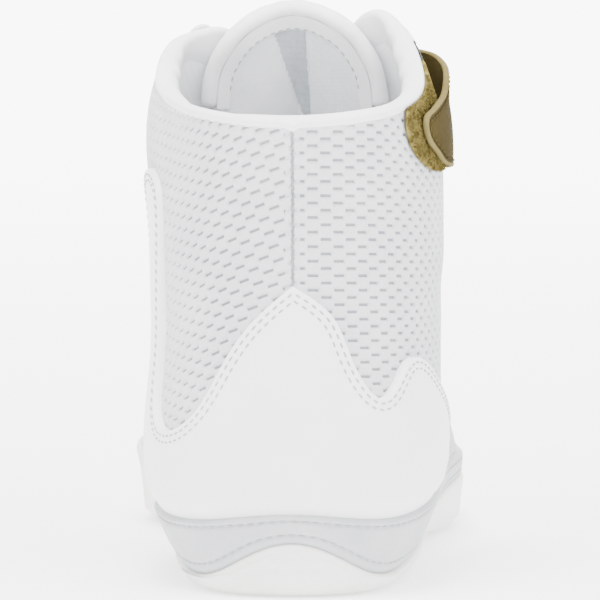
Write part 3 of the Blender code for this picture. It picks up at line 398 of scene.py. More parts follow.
def on_last(turn, rise, lift=0.0):
    """Points at a height above the last's surface, for arrays of any one shape."""
    turn, rise, lift = np.broadcast_arrays(turn, rise, lift)
    flat_turn, flat_rise = turn.ravel().astype(float), rise.ravel().astype(float)
    points = last_points(flat_turn, flat_rise) + last_normals(flat_turn, flat_rise) * lift.ravel()[:, None]
    return points.reshape(*turn.shape, 3)


def first_crossing(rises, reached):
    """For each row of measures, the rise at which it first passes zero upward, or the last rise."""
    before, after = reached[:, :-1], reached[:, 1:]
    crossed = (before < 0) & (after >= 0)
    index = np.where(crossed.any(axis=1), crossed.argmax(axis=1), len(rises) - 2)
    own = np.arange(len(reached))
    start, end = before[own, index], after[own, index]
    share = np.where(crossed.any(axis=1), -start / np.where(end == start, 1, end - start), 1)
    return mix(rises[index], rises[index + 1], share)


def rib_samples(turn, lowest, count):
    """Rises along each turn's rib, and the last's points there."""
    rises = np.linspace(lowest, 1, count)
    grid_turn, grid_rise = np.meshgrid(turn, rises, indexing="ij")
    return rises, last_points(grid_turn.ravel(), grid_rise.ravel()).reshape(*grid_turn.shape, 3)


def rise_at_height(turn, height):
    """The rise at which the last's surface reaches this height above the floor."""
    turn, height = np.broadcast_arrays(np.atleast_1d(turn).astype(float), height)
    rises, points = rib_samples(turn, 0, 101)
    return first_crossing(rises, points[..., 2] - height[:, None])


def throat_half_width(y, widening=0.0):
    """Half the throat's width at each y. It is wider at the top and ends in half an ellipse."""
    half = THROAT_WIDTH / 2 + widening
    end = THROAT_END * LAST_LENGTH - HEEL_SETBACK + widening
    share = np.clip((y - (end - half)) / half, 0, 1)
    flare = THROAT_FLARE * (1 - ease(y, end - 0.10, end - 0.05))
    return np.where(y > end, -1.0, (half + flare) * np.sqrt(1 - share**2))


def throat_rise(turn, widening=0.0):
    """The rise at which each rib meets the throat's edge, or a line beside it, and 1 where it meets none."""
    rises, points = rib_samples(turn, 0.45, 111)
    inside = throat_half_width(points[..., 1], widening) - np.abs(points[..., 0])
    inside[np.abs(turn) < LATERAL_TURNS[ANKLE]] = -1
    return first_crossing(rises, inside)


RIB_COUNT = 241
CLIMB_STEP = 0.0008


def girth(side):
    """Length of the belly from the heel's back to the toe along one side."""
    corners = np.array([last_corner(BELLY, index, side) for index in range(len(SECTIONS))])
    return np.linalg.norm(np.diff(corners, axis=0), axis=1).sum()


GIRTH = {side: girth(side) for side in (1, -1)}


def rib_map(side):
    """The last's points and normals along its ribs, by distance round the belly and distance up the rib."""
    turns, rises = side * np.linspace(0, 1, RIB_COUNT), np.linspace(0, 1, 161)
    turn, rise = np.meshgrid(turns, rises, indexing="ij")
    points = last_points(turn.ravel(), rise.ravel()).reshape(*turn.shape, 3)
    steps = np.linalg.norm(np.diff(points, axis=1), axis=2)
    run = np.concatenate([np.zeros((RIB_COUNT, 1)), np.cumsum(steps, axis=1)], axis=1)
    climbs = np.arange(0, run.max() + CLIMB_STEP, CLIMB_STEP)
    rise = np.array([np.interp(climbs, own, rises) for own in run])
    turn = np.repeat(turns[:, None], len(climbs), axis=1)
    shape = (*turn.shape, 3)
    flat_turn, flat_rise = turn.ravel(), rise.ravel()
    places, facing = last_points(flat_turn, flat_rise), last_normals(flat_turn, flat_rise)
    return places.reshape(shape), facing.reshape(shape), run[:, -1], climbs


RIBS = {side: rib_map(side) for side in (1, -1)}


def turn_at(around):
    """The turn this far round the belly from the heel's back."""
    return np.where(np.asarray(around) > 0, np.asarray(around) / GIRTH[1], np.asarray(around) / GIRTH[-1])


def folds(around, climb):
    """Soft troughs and ridges where the fabric eased over the last: round the ankle and across the ball."""
    height = 0
    for where, level, length, width, slope, depth in FOLDS:
        along = (around - where) + slope * (climb - level)
        across = (climb - level) - slope * (around - where)
        height = height + depth * np.exp(-((along / length) ** 2) - (across / width) ** 2)
    return height


# around, climb, half length and half width of each fold, its slope, and its height, below 0 for a trough.
FOLDS = (
    (0.070, 0.075, 0.022, 0.006, 0.25, -0.0005),
    (0.074, 0.086, 0.020, 0.006, 0.25, 0.0003),
    (-0.030, 0.110, 0.020, 0.007, 0.10, -0.0003),
    (0.018, 0.104, 0.016, 0.008, -0.15, -0.0003),
    (0.190, 0.040, 0.006, 0.014, -0.30, -0.0007),
    (0.205, 0.040, 0.006, 0.014, -0.35, -0.0006),
    (-0.190, 0.042, 0.006, 0.014, 0.30, -0.0007),
    (-0.206, 0.042, 0.006, 0.014, 0.35, -0.0006),
    (-0.066, 0.048, 0.034, 0.018, 0.0, 0.0013),
    (-0.078, 0.100, 0.018, 0.014, 0.0, -0.0010),
    (-0.056, 0.120, 0.020, 0.014, 0.0, -0.0010),
    (-0.048, 0.012, 0.030, 0.018, 0.0, 0.0013),
)


def skin(around, climb, lift=0.0):
    """Points this far above the last, at a distance round it and a distance up its rib."""
    around, climb, lift = (np.ravel(value).astype(float) for value in np.broadcast_arrays(around, climb, lift))
    lift = lift + folds(around, climb)
    placed = np.empty((len(around), 3))
    for side in (1, -1):
        mine = around > 0 if side > 0 else around <= 0
        places, facing, _, climbs = RIBS[side]
        i = np.clip(np.abs(around[mine]) / GIRTH[side] * (RIB_COUNT - 1), 0, RIB_COUNT - 1.001)
        j = np.clip(climb[mine] / CLIMB_STEP, 0, len(climbs) - 1.001)
        left, low = i.astype(int), j.astype(int)
        i, j = (i - left)[:, None], (j - low)[:, None]
        point, normal = (
            mix(mix(grid[left, low], grid[left + 1, low], i), mix(grid[left, low + 1], grid[left + 1, low + 1], i), j)
            for grid in (places, facing)
        )
        normal = unit(normal)
        placed[mine] = point + normal * lift[mine][:, None]
    return placed


def rib_end(around):
    """How far up the rib its end lies, at the collar or on the ridge."""
    around = np.asarray(around, float)
    shares = np.linspace(0, 1, RIB_COUNT)
    return np.where(around > 0, np.interp(turn_at(around), shares, RIBS[1][2]),
                    np.interp(-turn_at(around), shares, RIBS[-1][2]))


def climb_to(around, height):
    """How far up the rib the last reaches this height above the floor."""
    found = []
    for place, level in zip(*np.broadcast_arrays(np.atleast_1d(around), height)):
        side = 1 if place > 0 else -1
        at = min(abs(place) / GIRTH[side] * (RIB_COUNT - 1), RIB_COUNT - 1.001)
        near = [np.interp(level, RIBS[side][0][rib, :, 2], RIBS[side][3]) for rib in (int(at), int(at) + 1)]
        found.append(mix(*near, at - int(at)))
    return np.minimum(np.array(found), rib_end(around))


def round_shoe(count):
    """Distances round the belly, from the toe back along the medial side and forward along the lateral."""
    shares = np.linspace(0, 1, count)
    return np.concatenate([-shares[:0:-1] * GIRTH[-1], shares * GIRTH[1]])


# Heights that the other pieces share: the sole's edge, the band's edge, the throat and the top.
AROUND = round_shoe(401)
RING_TURNS = turn_at(AROUND)
SOLE_CLIMB = climb_to(AROUND, on_spline(*SOLE_RING, RING_TURNS)[:, 0])
BAND_CLIMB = climb_to(AROUND, on_spline(*BAND_RING, RING_TURNS)[:, 0])


def climb_of_rise(rises):
    """Distances up the ribs at AROUND of these rises."""
    points = last_points(RING_TURNS, rises)
    found = []
    for place, point in zip(AROUND, points):
        side = 1 if place > 0 else -1
        at = min(abs(place) / GIRTH[side] * (RIB_COUNT - 1), RIB_COUNT - 1.001)
        near = mix(RIBS[side][0][int(at)], RIBS[side][0][int(at) + 1], at - int(at))
        found.append(RIBS[side][3][np.linalg.norm(near - point, axis=1).argmin()])
    return np.array(found)


EYESTAY_WIDTH = 0.020
STAY_START = 0.29
TOP_CLIMB = np.minimum(climb_of_rise(throat_rise(RING_TURNS)), rib_end(AROUND))
STAY_CLIMB = np.where(np.abs(RING_TURNS) > STAY_START, climb_of_rise(throat_rise(RING_TURNS, EYESTAY_WIDTH)), 1.0)


def at_ring(values, around):
    """A height that AROUND lists, at other distances round the shoe."""
    return np.interp(around, AROUND, values)


def through(points, spacing):
    """An even run of points on the smooth line through a few."""
    points = np.array(points, float)
    run = run_along(points)
    places = np.linspace(0, run[-1], max(2, round(run[-1] / spacing)) + 1)
    return on_spline(run, points, knot_slopes(run, points), places)


def inside_outline(points, outline):
    """Whether each point lies inside a closed outline."""
    x, y = points[:, :1], points[:, 1:]
    ax, ay = outline.T
    bx, by = np.roll(outline, -1, axis=0).T
    straddles = (ay > y) != (by > y)
    crossing = ax + (y - ay) * (bx - ax) / np.where(by == ay, 1, by - ay)
    return (straddles & (x < crossing)).sum(axis=1) % 2 == 1


def edge_distance(points, outline):
    """Distance of each point from a closed outline."""
    start, end = outline, np.roll(outline, -1, axis=0)
    along = end - start
    best = np.full(len(points), np.inf)
    for a, d in zip(start, along):
        share = np.clip((points - a) @ d / max(d @ d, 1e-16), 0, 1)
        best = np.minimum(best, np.linalg.norm(points - a - share[:, None] * d, axis=1))
    return best


def new_piece(name, verts, faces, finish, replaces=(), slot=None, smooth=True):
    """A mesh piece of the shoe that stands for CAD nodes and takes a finish. The slot is not used."""
    mesh = bpy.data.meshes.new(name)
    mesh.from_pydata([tuple(v) for v in verts], [], [tuple(int(i) for i in f) for f in faces])
    mesh.materials.append(finish)
    mesh.update()
    if smooth:
        mesh.shade_smooth()
    made = bpy.data.objects.new(name, mesh)
    bpy.context.scene.collection.objects.link(made)
    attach(made, "root")
    if replaces:
        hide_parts(*replaces)
    return made


def sheet_faces(rows, columns, closed=False):
    """Quads over a grid of points stored row by row, facing out where columns run round and rows run up."""
    last = columns if closed else columns - 1
    i, j = np.meshgrid(np.arange(rows - 1), np.arange(last), indexing="ij")
    i, j = i.ravel(), j.ravel()
    k = (j + 1) % columns
    return np.stack([i * columns + j, i * columns + k, (i + 1) * columns + k, (i + 1) * columns + j], axis=1)


# The counter's outline is needed here too, because the fabric under it doesn't show.
COUNTER_PEAK = 0.0838


def by_height(points):
    """Outline points given by height above the floor, as distances up the rib."""
    points = np.array(points, float)
    return np.stack([points[:, 0], climb_to(points[:, 0], points[:, 1])], axis=1)


def counter_outline():
    """The counter's outline: its lateral side, its medial side with the saddle, and its foot."""
    peak, collar = COUNTER_PEAK, COLLAR_BACK_HEIGHT
    lateral = through(
        [(0.122, 0.026), (0.108, 0.035), (0.088, 0.042), (0.070, 0.050), (0.054, 0.058), (0.0345, 0.0625),
         (0.0235, 0.0535), (0.0170, 0.0605), (0.0105, 0.90 * peak), (0.0, peak)], 0.0012)
    medial = through(
        [(0.0, peak), (-0.0120, 0.86 * peak), (-0.0190, 0.0610), (-0.0270, 0.0490), (-0.0370, 0.0440),
         (-0.0480, 0.0455), (-0.0545, 0.0600), (-0.0570, 0.0800), (-0.0565, 0.0980), (-0.0590, 0.858 * collar),
         (-0.0660, 0.898 * collar), (-0.0780, 0.904 * collar), (-0.0880, 0.871 * collar), (-0.0930, 0.0950),
         (-0.0960, 0.0760), (-0.1000, 0.0520), (-0.1060, 0.0230)], 0.0012)
    sides = by_height(np.concatenate([lateral, medial[1:]]))
    arounds = np.arange(-0.1060, 0.122, 0.0012)
    bottom = np.stack([arounds, at_ring(BAND_CLIMB, arounds) - 0.002], axis=1)
    return np.concatenate([sides, bottom[1:-1]])


COUNTER = counter_outline()
SLOT_PERIOD = 0.0073
SLOT_ROW = 0.00195
SLOT_DEPTH = 0.00055
SLOT_LINES_ALONG = np.array((0.00010, 0.00042, 0.00182, 0.00323, 0.00355))
SLOT_LINES_UP = np.array((0.00038, 0.00060, 0.00132, 0.00154))
SEAM_HALF = 0.0004
TOE_START = LATERAL_TURNS[TOE_SIDE]


def fabric_half(side, slant):
    """One half of the knitted fabric: a grid whose lines follow the slots' edges, cut at the back seam."""
    half = SLOT_PERIOD / 2
    reach = 0.30
    cells = np.arange(-round(reach / half), round(reach / half))
    rows = np.arange(-round(reach / SLOT_ROW), round(reach / SLOT_ROW))
    p = (cells[:, None] * half + SLOT_LINES_ALONG).ravel()
    q = (rows[:, None] * SLOT_ROW + SLOT_LINES_UP).ravel()
    cell_of, row_of = np.repeat(cells, len(SLOT_LINES_ALONG)), np.repeat(rows, len(SLOT_LINES_UP))
    deep_p = np.tile([False, True, True, True, False], len(cells))
    deep_q = np.tile([False, True, True, False], len(rows))
    pp, qq = np.meshgrid(p, q)
    sunk = (deep_p[None] & deep_q[:, None]) & ((cell_of[None] + row_of[:, None]) % 2 == 0)
    around = pp * math.cos(slant) - qq * math.sin(slant)
    climb = pp * math.sin(slant) + qq * math.cos(slant) + 0.06
    centre = [(a[:-1, :-1] + a[1:, 1:]) / 2 for a in (around, climb)]
    shown = (centre[0] * side > -0.003) & (np.abs(centre[0]) < TOE_START * GIRTH[side] + 0.003)
    shown &= (centre[1] > at_ring(BAND_CLIMB, centre[0]) - 0.004)
    # Rows past a rib's end close up on it, so the fabric reaches the collar's edge and the ridge.
    edge = at_ring(TOP_CLIMB, centre[0])
    top = edge + np.where(edge > rib_end(centre[0]) - 0.0011, 0.0030, -0.0005)
    shown &= centre[1] < np.minimum(top, at_ring(STAY_CLIMB, centre[0]) + 0.003)
    left, low = np.nonzero(shown)[::-1]
    flat = np.stack([around.ravel(), climb.ravel()], axis=1)
    first = low * len(p) + left
    quads = np.stack([first, first + 1, first + 1 + len(p), first + len(p)], axis=1)
    middles = flat[quads].mean(axis=1)
    near = np.abs(middles[:, 0]) < 0.13
    hidden = np.zeros(len(quads), bool)
    hidden[near] = inside_outline(middles[near], COUNTER) & (edge_distance(middles[near], COUNTER[::2]) > 0.004)
    quads = quads[~hidden]
    used, quads = np.unique(quads, return_inverse=True)
    quads = quads.reshape(-1, 4)
    lifts = np.where(sunk.ravel()[used], -SLOT_DEPTH, 0.0)
    shape = bmesh.new()
    corners = [shape.verts.new((a, c, lift)) for (a, c), lift in zip(flat[used], lifts)]
    for quad in quads:
        face = shape.faces.new([corners[i] for i in quad])
        face.smooth = True
        # Faces wholly on a slot's floor take the darker second finish, which is painted shade for the sunk slots.
        face.material_index = int(all(lifts[i] < 0 for i in quad))
    everything = list(shape.verts) + list(shape.edges) + list(shape.faces)
    bmesh.ops.bisect_plane(
        shape, geom=everything, plane_co=(side * SEAM_HALF, 0, 0), plane_no=(-side, 0, 0), clear_outer=True)
    coords = np.array([v.co for v in shape.verts])
    for vert, place in zip(shape.verts, skin(coords[:, 0], coords[:, 1], coords[:, 2])):
        vert.co = place
    mesh = bpy.data.meshes.new("fabric")
    shape.to_mesh(mesh)
    shape.free()
    return mesh


def shade_group(name, inputs, outputs):
    """An empty shader group with these inputs and outputs, and its two end nodes."""
    tree = bpy.data.node_groups.new(name, "ShaderNodeTree")
    for label, value in inputs.items():
        tree.interface.new_socket(label, in_out="INPUT", socket_type="NodeSocketFloat").default_value = value
    for label in outputs:
        tree.interface.new_socket(label, in_out="OUTPUT", socket_type="NodeSocketFloat")
    return tree, tree.nodes.new("NodeGroupInput").outputs, tree.nodes.new("NodeGroupOutput").inputs


def per_metre(tree, size, times=1.0):
    """How often a pattern of this size repeats in a metre."""
    return add_node(tree, "Math", {0: times, 1: size}, operation="DIVIDE").outputs[0]


def bands(tree, place, count, wobble, direction):
    """Wavy bands across one direction, as a height."""
    return add_node(tree, "TexWave", {"Vector": place, "Scale": count, "Distortion": wobble, "Detail": 1.0},
                    bands_direction=direction).outputs["Fac"]


# Uneven tone: large soft patches and fine dust, from 0 to 1.
TONE, given, result = shade_group("Uneven tone", {"Patch size": 0.02, "Fine size": 0.0015}, ("Tone",))
place = add_node(TONE, "TexCoord").outputs["Object"]
patches = add_node(TONE, "TexNoise", {"Vector": place, "Scale": per_metre(TONE, given["Patch size"]), "Detail": 3.0})
specks = add_node(TONE, "TexNoise", {"Vector": place, "Scale": per_metre(TONE, given["Fine size"]), "Detail": 2.0})
blended = add_node(TONE, "Math", {0: patches.outputs["Fac"], 1: 0.7}, operation="MULTIPLY")
summed = add_node(TONE, "Math", {0: specks.outputs["Fac"], 1: 0.3, 2: blended.outputs[0]}, operation="MULTIPLY_ADD")
TONE.links.new(summed.outputs[0], result["Tone"])

# Knit: fine crossing yarns, as a height. A wave texture's own bands lie 2 pi apart.
WAVE_PITCH = 0.159
KNIT, given, result = shade_group("Knit yarns", {"Yarn": 0.0004}, ("Height",))
place = add_node(KNIT, "TexCoord").outputs["Object"]
count = per_metre(KNIT, given["Yarn"], WAVE_PITCH)
across, along = (bands(KNIT, place, count, 1.2, direction) for direction in ("Z", "DIAGONAL"))
crossed = add_node(KNIT, "Math", {0: across, 1: along}, operation="MAXIMUM")
KNIT.links.new(crossed.outputs[0], result["Height"])


def finish(name, light, dark, roughness, relief=(), coat=0.0, sheen=0.0, specular=0.5, tone=(0.02, 0.0015),
           spread=(0.35, 0.65)):
    """A material whose colour varies between two tones, with groups as its relief.

    relief holds (group, inputs, distance, strength) for each group. tone holds the two sizes of the
    uneven tone, and spread is the part of it that runs from dark to light.
    """
    made = bpy.data.materials.new(name)
    made.use_nodes = True
    tree = made.node_tree
    shader = tree.nodes["Principled BSDF"]
    for label, value in (("Roughness", roughness), ("Coat Weight", coat), ("Sheen Weight", sheen),
                         ("Specular IOR Level", specular)):
        shader.inputs[label].default_value = value
    uneven = add_node(tree, "Group", node_tree=TONE)
    uneven.inputs["Patch size"].default_value, uneven.inputs["Fine size"].default_value = tone
    ramp = add_node(tree, "MapRange", {"Value": uneven.outputs["Tone"], "From Min": spread[0], "From Max": spread[1]})
    colour = add_node(tree, "Mix", {"Factor": ramp.outputs["Result"], "A": linear(dark), "B": linear(light)},
                      data_type="RGBA")
    tree.links.new(colour.outputs["Result"], shader.inputs["Base Color"])
    bump = None
    for group, inputs, distance, strength in relief:
        heights = add_node(tree, "Group", node_tree=group)
        for label, value in inputs.items():
            heights.inputs[label].default_value = value
        bump = add_node(tree, "Bump", {"Height": heights.outputs["Height"], "Distance": distance, "Strength": strength,
                                       **({"Normal": bump.outputs["Normal"]} if bump else {})})
    if bump:
        tree.links.new(bump.outputs["Normal"], shader.inputs["Normal"])
    return made


KNIT_FACE = finish("Knit face", (206, 207, 209), (192, 194, 197), 0.9,
                   [(KNIT, {"Yarn": 0.00042}, 0.00012, 0.5)], specular=0.3)
# The slot floors are the same knit painted much darker: painted shade standing for the shade inside the sunk slots.
KNIT_SLOT_SHADE = finish("Knit slot floors painted shade", (150, 153, 158), (132, 136, 141), 0.95,
                   [(KNIT, {"Yarn": 0.00035}, 0.0001, 0.5)], specular=0.2)
for side, name, slant in ((1, "fabric_lateral", 0.0), (-1, "fabric_medial", math.radians(20))):
    mesh = fabric_half(side, slant)
    mesh.materials.append(KNIT_FACE)
    mesh.materials.append(KNIT_SLOT_SHADE)
    half = bpy.data.objects.new(name, mesh)
    bpy.context.scene.collection.objects.link(half)
    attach(half, "root")
    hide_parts("upper")

# The back seam. The halves are turned in and sewn to a tape behind them with a narrow zigzag.
seam_climbs = np.arange(at_ring(BAND_CLIMB, 0.0), rib_end(0.0) + 0.0004, 0.0010)
across = np.linspace(-0.0020, 0.0020, 9)
around, climb = np.meshgrid(across, seam_climbs)
verts = skin(around, climb, -0.00035 - 0.0006 * (np.abs(around) < SEAM_HALF))
SEAM_TAPE = finish("Seam tape", (204, 206, 208), (192, 194, 197), 0.9,
                   [(KNIT, {"Yarn": 0.0004}, 0.0001, 0.5)], specular=0.2)
new_piece("seam_tape", verts, sheet_faces(len(seam_climbs), 9), SEAM_TAPE, (), "mesh_fabric")

# The heel counter. A smooth white leather panel that wraps the heel, peaked at the back seam, with a
# saddle up the medial side. Its cut edge is turned down, and two rows of grey thread sew it on.


def offset_path(outline, inset):
    """The outline moved inward by this much, without the points that a corner would cross over."""
    ahead, behind = np.roll(outline, -1, axis=0), np.roll(outline, 1, axis=0)
    along = ahead - behind
    normal = unit(np.stack([-along[:, 1], along[:, 0]], axis=1))
    area = (outline[:, 0] * ahead[:, 1] - ahead[:, 0] * outline[:, 1]).sum()
    moved = outline + normal * inset * np.sign(area)
    return moved[edge_distance(moved, outline) > 0.985 * inset]


def filled(outline, insets, spacing, margin, staggered=0):
    """Points and triangles that fill an outline, in close rows along its edge and a grid further in."""
    rims = [offset_path(outline, inset) for inset in insets]
    low, high = outline.min(axis=0), outline.max(axis=0)
    grid = np.stack(np.meshgrid(*(np.arange(a, b, spacing) for a, b in zip(low, high))), axis=-1).reshape(-1, 2)
    grid[:, 0] += staggered * spacing / 2 * (np.round(grid[:, 1] / spacing) % 2)
    grid = grid[inside_outline(grid, outline)]
    grid = grid[edge_distance(grid, outline) > margin]
    points = np.concatenate([outline, *rims, grid])
    edges = [(i, (i + 1) % len(outline)) for i in range(len(outline))]
    flat, _, faces, *_ = delaunay_2d_cdt([Vector(point) for point in points], edges, [], 1, 1e-6)
    flat = np.array([tuple(point) for point in flat])
    faces = np.array(faces)
    a, b, c = (flat[faces[:, i]] for i in range(3))
    turned = np.cross(b - a, c - a) < 0
    faces[turned] = faces[turned][:, ::-1]
    away = np.array([np.linalg.norm(outline - point, axis=1).min() for point in flat])
    nearest = np.array([np.abs(flat - point).sum(axis=1).argmin() for point in outline])
    return flat, faces, away, nearest


def patch_mesh(outline, lift, wall, dips=()):
    """A leather piece on the last, outlined by (around, climb), with a rounded edge.

    dips holds (distance from the edge, depth) of each line of stitches, which pulls the leather down.
    """
    flat, faces, away, nearest = filled(
        outline, (0.00025, 0.0006, 0.0010, 0.0014, 0.0018, 0.0023, 0.0028, 0.0034), 0.0021, 0.0045, staggered=1)
    round_in = np.clip(away / 0.0009, 0, 1)
    # Its foot lies flat, because the band laps over it there.
    low = 1 - ease(flat[:, 1] - at_ring(BAND_CLIMB, flat[:, 0]), 0.0, 0.005)
    high = ease(flat[:, 1], 0.070, 0.100)
    lifts = lift - 0.0016 * low - 0.0008 * high + wall * np.sqrt(1 - (1 - round_in) ** 2)
    for where, depth in dips:
        lifts -= depth * np.exp(-(((away - where) / 0.0005) ** 2))
    top = skin(flat[:, 0], flat[:, 1], lifts)
    count = len(flat)
    skirt = skin(outline[:, 0], outline[:, 1], -0.0006)
    verts = np.concatenate([top, skirt])
    # The skirt hangs from the points nearest to the outline's own.
    following = np.roll(np.arange(len(outline)), -1)
    area = (outline[:, 0] * outline[following, 1] - outline[following, 0] * outline[:, 1]).sum()
    side = np.stack([nearest, count + np.arange(len(outline)), count + following, nearest[following]], axis=1)
    if area < 0:
        side = side[:, ::-1]
    return verts, [tuple(face) for face in faces] + [tuple(face) for face in side]


def capsules(points, normals, length, gap, radius, arch=0.35):
    """Stitches along a run of points: short round threads that dive into the piece at both ends."""
    run = run_along(points)
    starts = np.arange(gap / 2, run[-1] - length, length + gap)
    shares = np.array((0.0, 0.1, 0.3, 0.5, 0.7, 0.9, 1.0))
    places = starts[:, None] + shares * length
    centre, normal = (np.stack([np.interp(places, run, grid[:, axis]) for axis in range(3)], axis=-1)
                      for grid in (points, normals))
    normal = unit(normal)
    centre = centre + normal * (radius * (arch * np.sin(math.pi * shares) * 2 - 0.55))[:, None]
    along = np.gradient(centre, axis=1)
    along = unit(along)
    across = np.cross(along, normal)
    width = radius * np.array((0.35, 0.8, 1.0, 1.0, 1.0, 0.8, 0.35))
    angles = np.linspace(0, 2 * math.pi, 7)[:-1]
    ring = (across[:, :, None] * np.cos(angles)[:, None] + normal[:, :, None] * np.sin(angles)[:, None])
    verts = (centre[:, :, None] + ring * width[:, None, None]).reshape(-1, 3)
    one = sheet_faces(len(shares), 6, closed=True)
    faces = (one[None] + (np.arange(len(starts)) * len(shares) * 6)[:, None, None]).reshape(-1, 4)
    return verts, faces


def join(parts):
    """Several (verts, faces) as one."""
    verts, faces, start = [], [], 0
    for own, own_faces in parts:
        verts.append(own)
        faces += [tuple(int(i) + start for i in face) for face in own_faces]
        start += len(own)
    return np.concatenate(verts), faces


def skin_run(path, lift):
    """Points and facing along a path on the last."""
    on, above = skin(path[:, 0], path[:, 1], lift), skin(path[:, 0], path[:, 1], lift + 0.001)
    return on, above - on


def broken_runs(path, spacing=0.004):
    """The parts of a path of points between its jumps."""
    jumps = np.nonzero(np.linalg.norm(np.diff(path, axis=0), axis=1) > spacing)[0] + 1
    return [part for part in np.split(path, jumps) if len(part) > 4]


# Leather: fine grain, as a height.
GRAIN, given, result = shade_group("Leather grain", {"Grain": 0.0009}, ("Height",))
place = add_node(GRAIN, "TexCoord").outputs["Object"]
cells = add_node(GRAIN, "TexVoronoi", {"Vector": place, "Scale": per_metre(GRAIN, given["Grain"])},
                 feature="DISTANCE_TO_EDGE")
swell = add_node(GRAIN, "TexNoise", {"Vector": place, "Scale": 130.0, "Detail": 3.0})
grained = add_node(GRAIN, "Math", {0: cells.outputs["Distance"], 1: 0.6, 2: swell.outputs["Fac"]},
                   operation="MULTIPLY_ADD")
GRAIN.links.new(grained.outputs[0], result["Height"])

OVERLAY_GAP = 0.0004
COUNTER_GAP = 0.0015
LEATHER = finish("White leather", (238, 238, 238), (232, 233, 234), 0.45, [(GRAIN, {"Grain": 0.0009}, 0.00006, 0.25)])
THREAD = finish("Grey thread", (172, 174, 176), (152, 154, 157), 0.85, specular=0.2)
# How far in from the edge each row lies, how deep it pulls, and a stitch's length, gap and radius.
STITCH_ROWS = (0.0017, 0.0034)
STITCH_DEPTH = 0.00022
COUNTER_STITCH = (0.0016, 0.0010, 0.00026)
verts, faces = patch_mesh(
    COUNTER, COUNTER_GAP - 0.0007, OVERLAY_WALL + 0.0006, [(row, STITCH_DEPTH) for row in STITCH_ROWS])
new_piece("counter", verts, faces, LEATHER, ("heel_counter",), "counter_leather")
threads = []
for row in STITCH_ROWS:
    path = offset_path(COUNTER, row)
    path = path[path[:, 1] > at_ring(BAND_CLIMB, path[:, 0]) + 0.003]
    for part in broken_runs(path):
        lift = COUNTER_GAP + OVERLAY_WALL - 0.0002 - 0.0008 * ease(part[:, 1], 0.070, 0.100)
        threads.append(capsules(*skin_run(part, lift), *COUNTER_STITCH))
new_piece("counter_stitches", *join(threads), THREAD)

# The back seam's zigzag, in a thinner grey thread.
SEAM_THREAD = finish("Seam thread", (150, 152, 155), (134, 136, 139), 0.85, specular=0.2)
ZIGZAG_STEP, ZIGZAG_HALF = 0.00105, 0.00055
climbs = np.arange(climb_to(0.0, COUNTER_PEAK)[0] - 0.001, rib_end(0.0) - 0.0004, ZIGZAG_STEP)
corners = np.stack([ZIGZAG_HALF * (-1.0) ** np.arange(len(climbs)), climbs], axis=1)
on, out = skin_run(corners, 0.00012)
zigzag = [capsules(on[i:i + 2], out[i:i + 2], np.linalg.norm(on[i + 1] - on[i]) * 0.96, 0.0, 0.00016)
          for i in range(len(on) - 1)]
new_piece("seam_zigzag", *join(zigzag), SEAM_THREAD)

# The collar. The lining is a smooth white twill glued inside the fabric. At the top it turns over a
# foam roll about 7 mm thick, which is sewn to the fabric's edge all round, from one side of the throat
# to the other, and shows above it from behind.


def frame_along(points, out):
    """Unit vectors along a run of points and square to it, near the given outward ones."""
    along = np.gradient(points, axis=0)
    along = unit(along)
    out = out - along * (out * along).sum(axis=1)[:, None]
    out = unit(out)
    return along, out, np.cross(out, along)


def sweep(points, out, profile, swell=None, caps=True):
    """A body swept along a run of points. Each profile point is (outward, up), in metres."""
    along, out, up = frame_along(points, out)
    swell = np.ones(len(points)) if swell is None else swell
    profile = np.array(profile)
    profile = np.broadcast_to(profile, (len(points), *profile.shape[-2:]))
    verts = points[:, None] + (out[:, None] * profile[..., :1] + up[:, None] * profile[..., 1:]) * swell[:, None, None]
    count = profile.shape[1]
    faces = [tuple(face) for face in sheet_faces(len(points), count, closed=True)[:, ::-1]]
    if caps:
        faces += [tuple(range(count)), tuple(range((len(points) - 1) * count, len(points) * count))[::-1]]
    return verts.reshape(-1, 3), faces


def turned_out(name):
    """Recalculates a closed piece's faces so that they point out."""
    mesh = bpy.data.objects[name].data
    shape = bmesh.new()
    shape.from_mesh(mesh)
    bmesh.ops.recalc_face_normals(shape, faces=shape.faces)
    shape.to_mesh(mesh)
    shape.free()


# Twill: fine slanted ribs, as a height.
TWILL, given, result = shade_group("Twill ribs", {"Rib": 0.0009}, ("Height",))
place = add_node(TWILL, "TexCoord").outputs["Object"]
ribs = bands(TWILL, place, per_metre(TWILL, given["Rib"], WAVE_PITCH), 0.6, "DIAGONAL")
yarns = add_node(TWILL, "TexNoise", {"Vector": place, "Scale": 2600.0, "Detail": 1.0})
mixed = add_node(TWILL, "Math", {0: yarns.outputs["Fac"], 1: 0.35, 2: ribs}, operation="MULTIPLY_ADD")
TWILL.links.new(mixed.outputs[0], result["Height"])

LINING = finish("Twill lining", (244, 245, 246), (236, 238, 240), 0.9,
                [(TWILL, {"Rib": 0.0009}, 0.00016, 0.6)], specular=0.3)
PADDING = finish("Collar knit", (234, 235, 236), (226, 227, 229), 0.8,
                 [(KNIT, {"Yarn": 0.0003}, 0.00006, 0.35)], specular=0.3)
collar_reach = []
for side in (-1, 1):
    half = RING_TURNS[RING_TURNS * side > 0]
    half = half[np.argsort(np.abs(half))]
    collar_reach.append(side * (abs(half[(throat_rise(half) < 1 - 1e-6).argmax()]) - 0.004))
COLLAR_STEPS = 361
turns = np.linspace(*collar_reach, COLLAR_STEPS)
ends = last_points(turns, np.ones(COLLAR_STEPS))
facing = last_normals(turns, np.ones(COLLAR_STEPS))
rolled = np.array([
    (-0.0008, -0.0016), (0.0002, -0.0006), (0.0006, 0.0000), (0.0006, 0.0007), (-0.0002, 0.0014), (-0.0017, 0.0018),
    (-0.0034, 0.0018), (-0.0049, 0.0012), (-0.0060, 0.0000), (-0.0066, -0.0018), (-0.0067, -0.0040), (-0.0062, -0.0070),
    (-0.0056, -0.0095), (-0.0041, -0.0135), (-0.0027, -0.0170), (-0.0018, -0.0172), (-0.0018, -0.0080)])
